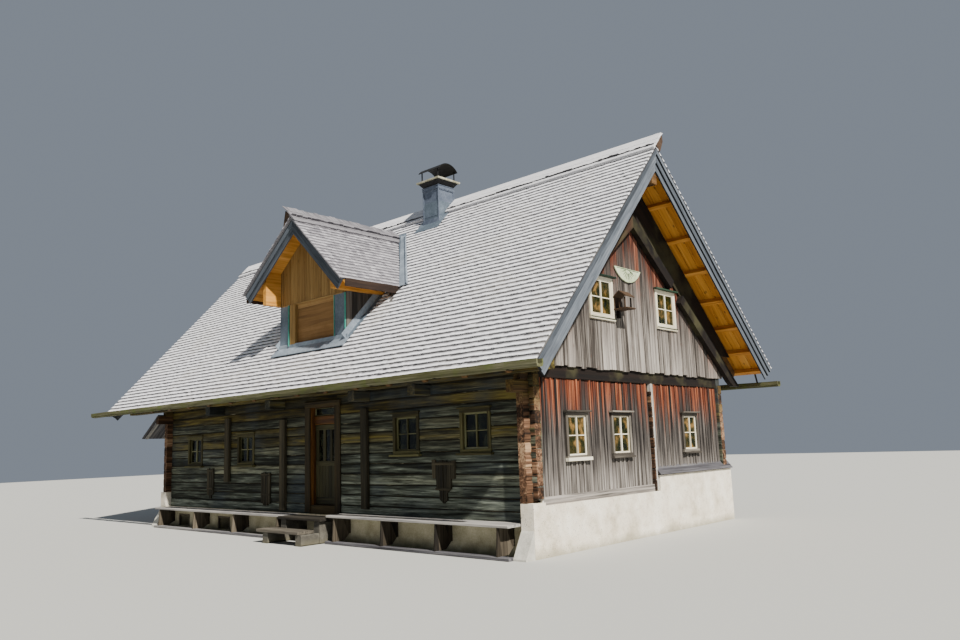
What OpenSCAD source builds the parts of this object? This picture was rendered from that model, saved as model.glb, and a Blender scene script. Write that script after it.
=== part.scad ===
// Alpine log chalet: log walls with crossed corners on a concrete plinth, boarded gables,
// a steep shingled roof with a dormer, and benches along the front.
// Millimetres. X runs along the ridge, Y from the front to the back, Z up from the lowest ground.

/* [House body] */
// Length of the plinth along the ridge
house_l = 12800; // [11000:100:15000]
// Depth of the plinth across the ridge
house_w = 7150; // [6600:50:8000]
// Height of one log course
course_h = 206; // [190:1:220]
// Thickness of the front and back log walls
log_t = 170; // [140:5:200]
// Thickness of the gable log walls
gable_t = 150; // [120:5:180]
// Depth of the groove between two logs
groove_d = 14; // [6:1:20]
// Half the height of the groove between two logs
groove_h = 16; // [8:1:24]
// How far the crossed gable logs stand out past the front and back walls
cross_head = 150; // [100:5:200]
// How far the crossed front and back logs stand out past the gable walls
side_head = 100; // [60:5:110]
// Inset of the gable log walls from the plinth face
gable_set = 120; // [100:5:160]
// Courses in the front wall
front_courses = 15; // [14:1:15]
// Courses above plinth level up to the top of the back wall
back_courses = 17; // [16:1:17]
// Courses above plinth level up to the top of the gable log walls
gable_courses = 12; // [11:1:12]

/* [Plinth and floors] */
// Height of the front plinth above the lowest ground
plinth_front_h = 510; // [400:10:600]
// Thickness of the plinth below the floor
plinth_t = 450; // [380:10:500]
// How far the front plinth stands out in front of the log wall
plinth_proud = 50; // [20:5:80]
// Height of the apron over the rear half of the gable plinth
apron_h = 1120; // [1060:5:1125]
// Width of a cellar vent
vent_w = 560; // [400:10:700]
// Height of a cellar vent
vent_h = 300; // [200:10:340]
// Top of the ground floor above the lowest ground
floor_top = 660; // [630:5:680]
// Thickness of the floor boards
floor_t = 40; // [30:5:60]
// Width of a floor joist
joist_w = 120; // [80:10:160]
// Width of a ceiling beam
beam_w = 200; // [160:10:240]
// How far the ceiling beams stand out under the front eave
beam_out = 400; // [380:10:440]
// Width of the eave purlin
eave_beam_w = 200; // [160:10:240]
// Height of the eave purlin
eave_beam_h = 208; // [180:2:230]

/* [Roof] */
// Height of the front slope's shingles over the front of the plinth
front_z = 3895; // [3700:5:4050]
// Height of the back slope's shingles over the back of the plinth
back_z = 4268; // [4200:2:4400]
// Pitch of the front slope
pitch_f = 47.3; // [46:0.1:48.5]
// Pitch of the back slope
pitch_b = 41.95; // [41:0.05:43]
// Overhang of the front eave from the front of the plinth
eave_f = 725; // [600:5:850]
// Overhang of the back eave from the back of the plinth
eave_b = 994; // [800:2:1100]
// Overhang of the roof at the right gable
over_r = 730; // [600:10:900]
// Overhang of the roof at the left gable
over_l = 1850; // [1400:10:2100]
// Thickness of the layered shingles
shingle_t = 60; // [40:5:80]
// Thickness of the roof boards
deck_t = 25; // [20:1:35]
// Depth of a roof purlin
purlin_h = 120; // [80:5:140]
// Width of a roof purlin
purlin_w = 90; // [70:5:120]
// Number of purlins on each slope
purlin_n = 8; // [6:1:9]
// Depth of a rafter
rafter_h = 160; // [120:5:180]
// Width of a rafter
rafter_w = 120; // [100:5:140]
// Largest distance between two rafters
rafter_gap = 1100; // [900:50:1400]
// Width of the ridge beam
ridge_beam_w = 180; // [140:10:220]
// Height of the ridge beam
ridge_beam_h = 220; // [180:10:260]
// Thickness of the ridge capping course
cap_t = 60; // [40:5:80]
// Length of the capping course below the ridge
cap_down = 140; // [120:10:300]
// Length of the capping course past the ridge
cap_past = 408; // [250:4:450]
// Width of one of the three steps of a barge board
barge_step = 125; // [90:5:140]
// Thickness of one step of a barge board
barge_t = 30; // [20:2:40]
// Pitch of the old verge rafters over the boarded gables
old_pitch = 38; // [37:0.1:39]
// Depth of the boarded gable's peak below the ridge
peak_drop = 1562; // [1500:2:1640]
// Thickness of the verge rafters
verge_t = 120; // [80:5:140]

/* [Gable boarding] */
// Thickness of the lower boarding with its battens
clad_t = 60; // [40:5:80]
// Thickness of the upper boarding
upper_t = 40; // [30:5:60]
// Top of the lower boarding
clad_top = 2975; // [2900:5:3000]
// Bottom of the upper boarding
upper_bottom = 3144; // [3110:2:3160]
// Width of a gable board
board_w = 180; // [140:5:220]
// Length of the point at the top of a board
board_tip = 45; // [20:5:60]
// Distance of the cross wall's log heads from the front
cross_y = 3945; // [3880:5:4000]
// Thickness of the cross wall
cross_t = 130; // [100:5:150]
// Height of the skirting board
skirt_h = 110; // [80:5:140]

/* [Windows] */
// Width of a window in the gable's ground floor
win_w = 742; // [640:2:800]
// Height of a window in the gable's ground floor
win_h = 838; // [740:2:900]
// Sill of the windows in the gable's ground floor
win_sill = 1525; // [1450:5:1600]
// Width of a gable window upstairs
attic_win_w = 800; // [700:5:840]
// Height of a gable window upstairs
attic_win_h = 800; // [700:5:840]
// Sill of the gable windows upstairs
attic_sill = 4110; // [4050:5:4180]
// Width of a window in the front wall
front_win_w = 740; // [640:5:800]
// Sill of the front windows right of the door
front_sill = 1700; // [1600:5:1740]
// Height of the front windows right of the door
front_win_h = 780; // [700:5:820]
// Sill of the front windows left of the door
left_sill = 1540; // [1500:5:1640]
// Height of the front windows left of the door
left_win_h = 750; // [680:5:820]
// Width of a window frame
frame_w = 60; // [40:5:80]
// Thickness of a pane
pane_t = 6; // [4:1:8]

/* [Door] */
// Middle of the doorway, measured from the right gable
door_x = 5790; // [5650:10:5900]
// Clear width between the door jambs
door_w = 860; // [800:10:900]
// Top of the threshold above the lowest ground
door_sill = 690; // [670:5:715]
// Height of the door leaf
leaf_h = 1680; // [1600:5:1700]
// Thickness of the door leaf
leaf_t = 50; // [40:2:60]
// Gap around the door leaf
leaf_gap = 10; // [8:0.5:12]
// Thickness of a jamb
jamb_t = 60; // [50:5:80]
// Height of the rail between the leaf and the light above it
transom_h = 180; // [140:5:200]
// Height of the light above the door
light_h = 180; // [140:5:200]
// Width of the boards around the doorway
casing_w = 130; // [90:5:160]
// Radius of a hinge pin
pin_r = 8; // [6:0.5:10]

/* [Dormer] */
// Middle of the dormer, measured from the right gable
dormer_x = 6345; // [6100:5:6600]
// Distance of the dormer's front from the front of the plinth
dormer_y = 270; // [200:5:350]
// Half the width between the outer faces of the dormer's sides
dormer_half = 1225; // [1100:5:1300]
// Height of the ridge line of the dormer's shingles
dormer_ridge_z = 7035; // [6950:5:7080]
// Run of the dormer's left slope from its ridge
dormer_run_l = 1960; // [1800:5:2050]
// Run of the dormer's right slope from its ridge
dormer_run_r = 1780; // [1650:5:1900]
// Pitch of the dormer's left slope
dormer_pitch_l = 37.4; // [36:0.1:39]
// Pitch of the dormer's right slope
dormer_pitch_r = 43.5; // [42:0.1:45]
// Overhang of the dormer roof in front
dormer_over = 465; // [350:5:550]
// Thickness of the dormer's roof with its boards
dormer_roof_t = 90; // [80:5:110]
// Thickness of the dormer walls
dormer_wall_t = 100; // [80:5:120]
// Width of the dormer's opening
dormer_open_w = 1500; // [1300:10:1600]
// Height of the dormer's opening
dormer_open_h = 930; // [800:10:960]

/* [Chimney] */
// Middle of the chimney, measured from the right gable
chimney_x = 5375; // [5300:5:5450]
// Side of the square chimney shaft
chimney_w = 520; // [440:10:560]
// Height of the chimney shaft above the ridge
chimney_rise = 718; // [600:2:860]
// Side of the square cover slab
cover_w = 780; // [700:10:840]
// Thickness of the cover slab
cover_t = 50; // [30:5:90]
// Rise of the cowl's arch above its feet
cowl_rise = 170; // [120:5:220]
// Height of the cowl's posts
cowl_post = 240; // [180:5:280]

/* [Gutters] */
// Width of the hewn gutter
gutter_w = 170; // [140:5:200]
// Depth of the hewn gutter
gutter_h = 125; // [100:5:150]
// Wall thickness of the hewn gutter
gutter_t = 32; // [24:2:40]
// How far the gutters run past the roof at the right
gutter_past = 220; // [150:10:300]
// How far the front gutter runs past the roof at the left
gutter_past_l = 550; // [400:10:600]
// How far the back gutter runs past the roof
gutter_past_b = 100; // [50:10:200]
// Drop of the back gutter below the shingles' edge
gutter_low_b = 190; // [100:5:220]
// Number of gutter hooks on each side
hook_n = 10; // [6:1:12]

/* [Benches and front] */
// Depth of a bench seat
bench_d = 430; // [380:10:470]
// Thickness of a bench seat
bench_t = 45; // [35:5:60]
// Top of the left bench
bench_l_top = 505; // [470:5:510]
// Width of a wall post
post_w = 200; // [140:10:240]
// Depth of a wall post
post_d = 90; // [60:5:120]
// Depth of the door platform
step_d = 560; // [450:10:620]
// Top of the door platform
step_top = 500; // [470:5:510]

/* [Hidden] */
$fn = 48;

// Faces of the log walls
wall_y = cross_head;
wall_in_y = wall_y + log_t;
back_y = house_w - cross_head;
back_in_y = back_y - log_t;
gable_x = -gable_set;
gable_in_x = gable_x - gable_t;
left_in_x = -house_l - gable_in_x;
wall_top = plinth_front_h + course_h * front_courses;
back_step = 3;
back_base = plinth_front_h + course_h * back_step;
back_top = plinth_front_h + course_h * back_courses;
gable_base = plinth_front_h + course_h * 1.5;
gable_rear = gable_base + course_h;
gable_top = plinth_front_h + course_h * (gable_courses + 0.5);
half_notch = course_h / 4;
cross_low = gable_base + half_notch;
beam_z = gable_top - course_h * 1.5;
beam_top = beam_z + course_h;
corbel_z = gable_top - course_h * 2;
eave_beam_y = wall_y - beam_out;
eave_beam_top = beam_top + eave_beam_h;
beam_x = [-9940, -7300, -4315, -2560];
eave_beam_x0 = -house_l - over_l + 350;
eave_beam_x1 = over_r - 130;

// Plinth and floors
plinth_y = wall_y - plinth_proud;
plinth_back_y = back_y + plinth_proud;
plinth_step_y = cross_y + cross_t / 2;
joist_h = 180;
joist_gap = 1000;
ledge_z = floor_top - floor_t - joist_h;
vent_in = [1130, 3095];
vent_x = [for (v = vent_in) v - house_l];
vent_z = 40;

// Roof planes: height of a plane lying d below the top of the shingles
ridge_y = (back_z - front_z + house_w * tan(pitch_b)) / (tan(pitch_f) + tan(pitch_b));
ridge_z = front_z + ridge_y * tan(pitch_f);
function roof_f(y, d) = ridge_z - (ridge_y - y) * tan(pitch_f) - d / cos(pitch_f);
function roof_b(y, d) = ridge_z - (y - ridge_y) * tan(pitch_b) - d / cos(pitch_b);
front_len = (ridge_y + eave_f) / cos(pitch_f);
back_len = (house_w + eave_b - ridge_y) / cos(pitch_b);
// A point s up the slope from the eave and d below the top of the shingles
function at_f(s, d) = [-eave_f + s * cos(pitch_f) + d * sin(pitch_f),
    roof_f(-eave_f, 0) + s * sin(pitch_f) - d * cos(pitch_f)];
function at_b(s, d) = [house_w + eave_b - s * cos(pitch_b) - d * sin(pitch_b),
    roof_b(house_w + eave_b, 0) + s * sin(pitch_b) - d * cos(pitch_b)];
// Where the two slopes meet, d below the top of the shingles
function apex(d) = [ridge_y + d * (1 / cos(pitch_f) - 1 / cos(pitch_b)) / (tan(pitch_f) + tan(pitch_b)),
    roof_f(ridge_y + d * (1 / cos(pitch_f) - 1 / cos(pitch_b)) / (tan(pitch_f) + tan(pitch_b)), d)];
// The layers of the roof lie on each other with a hair's breadth between them
seat = 0.3;
gable_peak = ridge_z - peak_drop;
chimney_top = ridge_z + chimney_rise;
deck_d = shingle_t + seat + deck_t;
rafter_d = deck_d + seat + purlin_h;
rafter_top = rafter_d + seat;
rafter_low = rafter_top + rafter_h;
roof_x0 = -house_l - over_l;
barge_in = over_r - 2 * barge_t - 10;
barge_slip = 4;
tail_s = 150;
roof_far = eave_f + eave_b;
// The purlins lie closer together near the eave
purlin_s0 = 90;
purlin_s1 = 330;
purlin_growth = 1.15;
cap_gap = 30;
// How far the upper boarding reaches past the front, and its inset from the back
upper_past = 261;
upper_in = 29;
// How far the old verge rafters reach past the back of the plinth, and their height
verge_foot = 780;
verge_h = 620;
ridge_beam_top = ridge_z - rafter_low / cos(pitch_f) - 30;
shingle_over = 20;

// Dormer
dx = -dormer_x;
dorm_shingle = 55;
dorm_in = dormer_half - dormer_wall_t;
dorm_back_y = ridge_y - (ridge_z - dormer_ridge_z) / tan(pitch_f) + 250;
dorm_cap_t = 40;
dorm_cap_down = 250;
dorm_cap_past = 220;
dorm_roof_y = dormer_y - dormer_over;
dorm_barge_t = 30;
dorm_gable_z = 5200;
dorm_sill = roof_f(dormer_y, 0) + 60;
// The opening stands a little right of the dormer's middle
dorm_open_x = dx + 80;
dorm_far = dormer_run_l + dormer_run_r;
dorm_low = wall_top;
// Depth of the laps between the dormer's timbers
dorm_lap = 10;
function dorm_l(x, d) = dormer_ridge_z - (dx - x) * tan(dormer_pitch_l) - d / cos(dormer_pitch_l);
function dorm_r(x, d) = dormer_ridge_z - (x - dx) * tan(dormer_pitch_r) - d / cos(dormer_pitch_r);

// Chimney
cx = -chimney_x;
cy = ridge_y - 30;
flue_w = 260;
apron_side = 150;
apron_front = 220;
roof_gap = 20;
sheet_t = 12;
// The band of sheet metal below the chimney's cover
band_out = 25;
band_low = 200;
band_h = 70;

// Door
open_w = door_w + 2 * jamb_t;
open_x0 = -door_x - open_w / 2;
open_x1 = -door_x + open_w / 2;
leaf_w = door_w - 2 * leaf_gap;
leaf_z = door_sill + leaf_gap;
rail_z = leaf_z + leaf_h + leaf_gap;
light_z = rail_z + transom_h;
open_top = light_z + light_h + jamb_t;
hinge_x = open_x0 + jamb_t + leaf_gap;
hinge_y = wall_in_y + 24;
barrel_r = 14;
barrel_h = 70;
pin_gap = 0.3;
hinge_z = [leaf_z + 250, leaf_z + 1400];
stop_t = 15;
casing_t = 30;
slot_w = 150;
slot_bar = 85;

// Windows: middles along the walls
front_win_x = [-1352, -3155];
left_win_x = [-8825, -11252];
back_win_x = [-1900, -4500, -8300, -10900];
back_sill = 1840;
gable_win_y = [1390, 2814, 5502];
attic_win_y = [ridge_y - 1126, ridge_y + 1276];
frame_d = 100;
gable_frame_d = 160;
frame_out = 10;
bar_w = 50;

// Benches and platform
step_left = 760;
step_right = 720;
step_x0 = -door_x - step_left;
step_x1 = -door_x + step_right;
bench_l_x0 = -house_l + 360;
bench_sill = 60;
plank_t = 40;

// Middle of the footprint
gutter_off = 65;
gutter_low = 30;
hook_t = 8;
gutter_y = -eave_f - gutter_off - gutter_w;
gutter_back_y = house_w + eave_b + gutter_off + gutter_w;
mid_x = (roof_x0 - gutter_past_l + over_r + gutter_past) / 2;
mid_y = (gutter_y + gutter_back_y) / 2;

module place() translate([-mid_x, -mid_y, 0]) children();

module box(x0, x1, y0, y1, z0, z1) translate([x0, y0, z0]) cube([x1 - x0, y1 - y0, z1 - z0]);

// Draws a profile given in Y and Z along X
module along_x(x0, x1) translate([x0, 0, 0]) rotate([90, 0, 90]) linear_extrude(x1 - x0) children();

// Draws a profile given in X and Z along Y
module along_y(y0, y1) translate([0, y1, 0]) rotate([90, 0, 0]) linear_extrude(y1 - y0) children();

// The left gable mirrors the right one
module at_left() translate([-house_l, 0, 0]) mirror([1, 0, 0]) children();

module both_gables() {
    children();
    at_left() children();
}

// Section of a log wall with a V groove at each joint on the face at s
module log_section(t, z0, z1, joint, s) difference() {
    translate([0, z0]) square([t, z1 - z0]);
    for (z = [joint : course_h : z1 - groove_h])
        translate([s, z]) polygon([[-groove_d, 0], [0, -groove_h], [groove_d, 0], [0, groove_h]]);
}

// Where the gable logs pass through a front or back wall
module front_crossings(y0, y1) both_gables() {
    for (n = [2 : gable_courses])
        box(gable_in_x, gable_x, y0, y1, plinth_front_h + course_h * n - half_notch,
            plinth_front_h + course_h * n + half_notch);
    box(gable_in_x, gable_x, y0, y1, 0, cross_low);
}

// Where the front or back logs pass through a gable wall
module gable_crossings(y0, y1, first) {
    for (k = [first : gable_courses - 1])
        box(gable_in_x, gable_x, y0, y1, plinth_front_h + course_h * k + half_notch,
            plinth_front_h + course_h * (k + 1) - half_notch);
    box(gable_in_x, gable_x, y0, y1, gable_top - half_notch, gable_top + course_h);
}

module window_hole_front(x, sill, w, h, y0, y1) box(x - w / 2, x + w / 2, y0, y1, sill, sill + h);

module front_holes(y0, y1) {
    for (x = front_win_x)
        window_hole_front(x, front_sill, front_win_w, front_win_h, y0, y1);
    for (x = left_win_x)
        window_hole_front(x, left_sill, front_win_w, left_win_h, y0, y1);
}

module gable_holes(x0, x1) for (y = gable_win_y)
    box(x0, x1, y - win_w / 2, y + win_w / 2, win_sill, win_sill + win_h);

module attic_holes(x0, x1) for (y = attic_win_y)
    box(x0, x1, y - attic_win_w / 2, y + attic_win_w / 2, attic_sill, attic_sill + attic_win_h);

module beam_bodies(y0, y1) for (x = beam_x)
    box(x - beam_w / 2, x + beam_w / 2, y0, y1, beam_z, beam_top);

module front_logs(x0, x1) difference() {
    along_x(x0, x1) translate([wall_y, 0])
        log_section(log_t, plinth_front_h, wall_top, plinth_front_h + course_h, 0);
    front_crossings(wall_y - 1, wall_in_y + 1);
    both_gables() {
        box(gable_in_x, 1, wall_y - 1, wall_in_y + 1, 0, cross_low);
        box(gable_x, 1, wall_y - 1, wall_in_y + 1, 0, cross_low + half_notch);
        box(-upper_t, 1, wall_y - 1, wall_in_y + 1, upper_bottom, wall_top + 1);
    }
    front_holes(wall_y - 1, wall_in_y + 1);
    beam_bodies(wall_y - 1, wall_in_y + 1);
}

// The front plinth between two places along the wall
module front_plinth(x0, x1) {
    box(x0, x1, plinth_y, plinth_y + plinth_t, 0, ledge_z);
    box(x0, x1, plinth_y, wall_in_y, 0, plinth_front_h);
}

// Lengths of concrete wall beside the vents
module plinth_front() color("#b8b3a6") place() {
    ends = [left_in_x, for (x = vent_x, s = [-1, 1]) x + s * vent_w / 2, gable_in_x];
    for (i = [0 : 2 : len(ends) - 1])
        front_plinth(ends[i], ends[i + 1]);
}

// The lintel over each vent and the block below it
module vent_blocks() color("#b8b3a6") place() for (x = vent_x) {
    intersection() {
        front_plinth(x - vent_w / 2, x + vent_w / 2);
        box(x - vent_w, x + vent_w, 0, wall_y + plinth_t, vent_z + vent_h, plinth_front_h + 1);
    }
    box(x - vent_w / 2, x + vent_w / 2, plinth_y, plinth_y + plinth_t, 0, vent_z);
}

module gable_plinth(rear_z, rear_apron) {
    box(-plinth_t, 0, plinth_y + plinth_t, plinth_back_y - plinth_t, 0, ledge_z);
    box(gable_in_x, 0, 0, house_w, 0, gable_base);
    box(gable_in_x, 0, 0, wall_in_y, 0, cross_low);
    box(gable_in_x, 0, plinth_step_y, house_w, 0, rear_z);
    box(gable_x, 0, plinth_step_y, house_w, 0, rear_apron);
}

module plinth_sides() color("#b8b3a6") place() {
    gable_plinth(gable_rear, apron_h);
    at_left() gable_plinth(gable_base, gable_base);
}

module plinth_back() color("#b8b3a6") place() {
    box(left_in_x, gable_in_x, plinth_back_y - plinth_t, plinth_back_y, 0, ledge_z);
    box(left_in_x, gable_in_x, back_in_y, plinth_back_y, 0, back_base);
}

module ground_floor() color("#8a6a48") place() {
    span = gable_in_x - left_in_x - joist_w;
    n = ceil(span / joist_gap);
    for (i = [0 : n])
        translate([left_in_x + i * span / n, 0, 0])
            box(0, joist_w, wall_in_y, back_in_y, ledge_z, floor_top - floor_t);
    box(left_in_x, gable_in_x, wall_in_y, back_in_y, floor_top - floor_t, floor_top);
}

module front_wall_left() color("#5d5240") place() front_logs(-house_l + gable_set - side_head, open_x0);

module front_wall_right() color("#5d5240") place() front_logs(open_x1, gable_x + side_head);

module front_wall_over_door() color("#5d5240") place() difference() {
    front_logs(open_x0, open_x1);
    box(open_x0 - 1, open_x1 + 1, wall_y - 1, wall_in_y + 1, 0, open_top);
}

module back_wall() color("#5d5240") place() difference() {
    along_x(-house_l + gable_set - side_head, gable_x + side_head) translate([back_in_y, 0])
        log_section(log_t, back_base, back_top, back_base + course_h, log_t);
    front_crossings(back_in_y - 1, back_y + 1);
    both_gables() box(-upper_t, 1, back_in_y - 1, back_y + 1, upper_bottom, back_top + 1);
    for (x = back_win_x)
        window_hole_front(x, back_sill, front_win_w, front_win_h, back_in_y - 1, back_y + 1);
}

module gable_wall(rear_z) difference() {
    union() {
        along_y(0, house_w) translate([gable_in_x, 0])
            log_section(gable_t, gable_base, gable_top, gable_base + course_h, gable_t);
        along_y(eave_beam_y, 0) translate([gable_in_x, 0])
            log_section(gable_t, corbel_z, gable_top, corbel_z + course_h, gable_t);
        box(gable_in_x, -upper_t, wall_in_y, back_in_y, gable_top, gable_top + beam_w / 2);
        box(gable_x, -cross_head / 10, cross_y - cross_t / 2, cross_y + cross_t / 2, gable_base,
            beam_z);
    }
    box(gable_in_x - 1, 1, -1, wall_in_y, 0, cross_low);
    box(gable_in_x - 1, 1, plinth_step_y, house_w + 1, 0, rear_z);
    box(gable_in_x - 1, 1, eave_beam_y - 1, eave_beam_y + eave_beam_w, beam_top, gable_top + 1);
    gable_crossings(wall_y, wall_in_y, 2);
    gable_crossings(back_in_y, back_y, back_step);
    gable_holes(gable_in_x - 1, gable_x + 1);
}

module right_wall() color("#5d5240") place() gable_wall(gable_rear);

module left_wall() color("#5d5240") place() at_left() gable_wall(gable_base);

module ceiling_beams() color("#6b5638") place() beam_bodies(eave_beam_y, back_in_y);

module attic_floor() color("#8a6a48") place() difference() {
    box(left_in_x, gable_in_x, wall_in_y, back_in_y, beam_top, beam_top + floor_t);
    box(cx - chimney_w / 2, cx + chimney_w / 2, cy - chimney_w / 2, cy + chimney_w / 2,
        beam_top - 1, beam_top + floor_t + 1);
}

module eave_beam_body() box(eave_beam_x0, eave_beam_x1, eave_beam_y, eave_beam_y + eave_beam_w,
    beam_top, eave_beam_top);

module eave_beam() color("#6b5638") place() eave_beam_body();

// Profile of a layer of a slope between two depths, from s above the eave to the ridge
module profile_f(s, d0, d1)
    polygon([at_f(s, d0), at_f(s, d1), [ridge_y, roof_f(ridge_y, d1)], [ridge_y, roof_f(ridge_y, d0)]]);

module profile_b(s, d0, d1)
    polygon([at_b(s, d0), at_b(s, d1), [ridge_y, roof_b(ridge_y, d1)], [ridge_y, roof_b(ridge_y, d0)]]);

// Profile of a layer that bends over the ridge
module profile_both(s, d0, d1)
    polygon([at_f(s, d0), apex(d0), at_b(s, d0), at_b(s, d1), apex(d1), at_f(s, d1)]);

module layer_f(s, d0, d1, x0, x1) along_x(x0, x1) profile_f(s, d0, d1);

module layer_b(s, d0, d1, x0, x1) along_x(x0, x1) profile_b(s, d0, d1);

module strip_f(s0, s1, d0, d1, x0, x1) along_x(x0, x1)
    polygon([at_f(s0, d0), at_f(s1, d0), at_f(s1, d1), at_f(s0, d1)]);

module strip_b(s0, s1, d0, d1, x0, x1) along_x(x0, x1)
    polygon([at_b(s0, d0), at_b(s1, d0), at_b(s1, d1), at_b(s0, d1)]);

// Everything below both roof planes at a depth
module under_roof(d, x0, x1) intersection() {
    along_x(x0, x1) polygon([[-roof_far, 0], [house_w + roof_far, 0],
        [house_w + roof_far, roof_f(house_w + roof_far, d)], [-roof_far, roof_f(-roof_far, d)]]);
    along_x(x0, x1) polygon([[-roof_far, 0], [house_w + roof_far, 0],
        [house_w + roof_far, roof_b(house_w + roof_far, d)], [-roof_far, roof_b(-roof_far, d)]]);
}

// Where the underside of the dormer's roof meets the top of the front slope
function dorm_meet(z) = ridge_y - (ridge_z - z) / tan(pitch_f);

// Room for the dormer: the opening in the front slope
module dormer_opening() translate([0, 0, beam_top])
    linear_extrude(ridge_z - beam_top) polygon([
        [dx - dorm_in, dormer_y + dormer_wall_t],
        [dx + dorm_in, dormer_y + dormer_wall_t],
        [dx + dorm_in, dorm_meet(dorm_r(dx + dorm_in, dormer_roof_t))],
        [dx, dorm_meet(dorm_r(dx, dormer_roof_t))],
        [dx - dorm_in, dorm_meet(dorm_l(dx - dorm_in, dormer_roof_t))]]);

module chimney_hole() box(cx - chimney_w / 2 - roof_gap, cx + chimney_w / 2 + roof_gap,
    cy - chimney_w / 2 - roof_gap, cy + chimney_w / 2 + roof_gap, beam_top, chimney_top);

// Middles of the rafters: evenly spaced on both sides of the dormer, and two above it
jack_x = [dx + 350, dx - 400];
trim_r = -min(dormer_x - dormer_half, chimney_x - chimney_w / 2) + rafter_w / 2 + 40;
trim_l = dx - dormer_half - rafter_w / 2 - 40;
end_r = -upper_t - rafter_w / 2;
end_l = -house_l - end_r;
count_r = ceil((end_r - trim_r) / rafter_gap);
count_l = ceil((trim_l - end_l) / rafter_gap);
rafter_x = concat([for (i = [0 : count_r]) end_r - i * (end_r - trim_r) / count_r],
    jack_x,
    [for (i = [0 : count_l]) trim_l - i * (trim_l - end_l) / count_l]);

module rafters() color("#c08a4c") place() difference() {
    union() {
        for (x = rafter_x) {
            layer_f(tail_s, rafter_top, rafter_low, x - rafter_w / 2, x + rafter_w / 2);
            layer_b(tail_s, rafter_top, rafter_low, x - rafter_w / 2, x + rafter_w / 2);
        }
        box(roof_x0 + barge_t, barge_in, ridge_y - ridge_beam_w / 2, ridge_y + ridge_beam_w / 2,
            ridge_beam_top - ridge_beam_h, ridge_beam_top);
    }
    box(-house_l, 0, wall_y, wall_in_y, wall_top - course_h, wall_top);
    box(-house_l, 0, back_in_y, back_y, back_top - course_h * 2, back_top);
    eave_beam_body();
    dormer_opening();
    chimney_hole();
}

module purlins() color("#b98146") place() difference() {
    for (i = [0 : purlin_n - 1]) {
        u = pow(i / (purlin_n - 1), purlin_growth);
        sf = purlin_s0 + u * (front_len - purlin_s0 - purlin_s1);
        sb = purlin_s0 + u * (back_len - purlin_s0 - purlin_s1);
        strip_f(sf - purlin_w / 2, sf + purlin_w / 2, deck_d + seat, rafter_d, roof_x0 + barge_t,
            barge_in);
        strip_b(sb - purlin_w / 2, sb + purlin_w / 2, deck_d + seat, rafter_d, roof_x0 + barge_t,
            barge_in);
    }
    dormer_opening();
    chimney_hole();
}

module roof_boards() color("#c8934f") place() difference() {
    along_x(roof_x0 + barge_t, barge_in) profile_both(0, shingle_t + seat, deck_d);
    dormer_opening();
    chimney_hole();
}

module shingles_front() color("#b9b6ae") place() difference() {
    layer_f(0, 0, shingle_t, roof_x0 - shingle_over, over_r + shingle_over);
    dormer_opening();
    chimney_hole();
}

module shingles_back() color("#a9a69e") place() difference() {
    layer_b(0, 0, shingle_t, roof_x0 - shingle_over, over_r + shingle_over);
    chimney_hole();
}

module cap_body() difference() {
    strip_f(front_len - cap_down, front_len + cap_past, -cap_t, -seat, roof_x0 - shingle_over,
        over_r + 2 * shingle_over);
    box(cx - chimney_w / 2 - cap_gap, cx + chimney_w / 2 + cap_gap, 0, house_w,
        ridge_z - cap_past, ridge_z + cap_past);
}

module ridge_cap() color("#aaa79f") place() cap_body();

// Three stepped boards on the end of the roof, from the boards' end outwards
module barge_bands(x, dir) for (i = [0 : 2]) {
    x0 = x + dir * i * barge_t;
    d0 = shingle_t + seat + (2 - i) * barge_slip;
    d1 = shingle_t + (2.5 - i * 0.95) * barge_step;
    along_x(min(x0, x0 + dir * barge_t), max(x0, x0 + dir * barge_t))
        profile_both((2 - i) * barge_slip, d0, d1);
}

module barge_boards() color("#7d8794") place() {
    barge_bands(barge_in, 1);
    translate([roof_x0 + barge_t, 0, 0]) barge_bands(0, -1);
}

verge_end = house_w + verge_foot;
win_room = 25;

// Notches in the verge rafters for the gable's upper windows
module attic_rooms() for (y = attic_win_y)
    box(-1, verge_t + 1, y - attic_win_w / 2 - win_room, y + attic_win_w / 2 + win_room,
        attic_sill - 2 * win_room, attic_sill + attic_win_h + 2 * win_room);

// The old verge rafter over a boarded gable, below the roof's purlins
module verge() difference() {
    intersection() {
        along_x(0, verge_t) polygon([[ridge_y, gable_peak],
            [verge_end, gable_peak - (verge_end - ridge_y) * tan(old_pitch)],
            [verge_end, gable_peak + verge_h - (verge_end - ridge_y) * tan(old_pitch)],
            [ridge_y, gable_peak + verge_h],
            [-eave_f, gable_peak + verge_h - (ridge_y + eave_f) * tan(old_pitch)],
            [-eave_f, gable_peak - (ridge_y + eave_f) * tan(old_pitch)]]);
        under_roof(rafter_top, 0, verge_t);
    }
    eave_beam_body();
    box(-1, verge_t + 1, -eave_f - 1, verge_end + 1, 0, clad_top);
    attic_rooms();
}

module verge_rafters() color("#4a4038") place() both_gables() verge();

// A field of upright boards with pointed tops
module board_field(y0, y1, z0, z1, x0, x1) {
    n = round((y1 - y0) / board_w);
    w = (y1 - y0) / n;
    along_x(x0, x1) for (i = [0 : n - 1])
        translate([y0 + i * w, 0])
            polygon([[0, z0], [w, z0], [w, z1 - board_tip], [w / 2, z1], [0, z1 - board_tip]]);
}

module low_field(y0, y1, z0) {
    n = round((y1 - y0) / board_w);
    w = (y1 - y0) / n;
    board_field(y0, y1, z0, clad_top, gable_x, gable_x + clad_t / 2);
    for (i = [1 : n - 1])
        box(gable_x + clad_t / 2, gable_x + clad_t, y0 + i * w - 25, y0 + i * w + 25, z0,
            clad_top - board_tip);
    box(gable_x + clad_t / 2, gable_x + clad_t + 10, y0, y1, z0, z0 + skirt_h);
}

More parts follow.
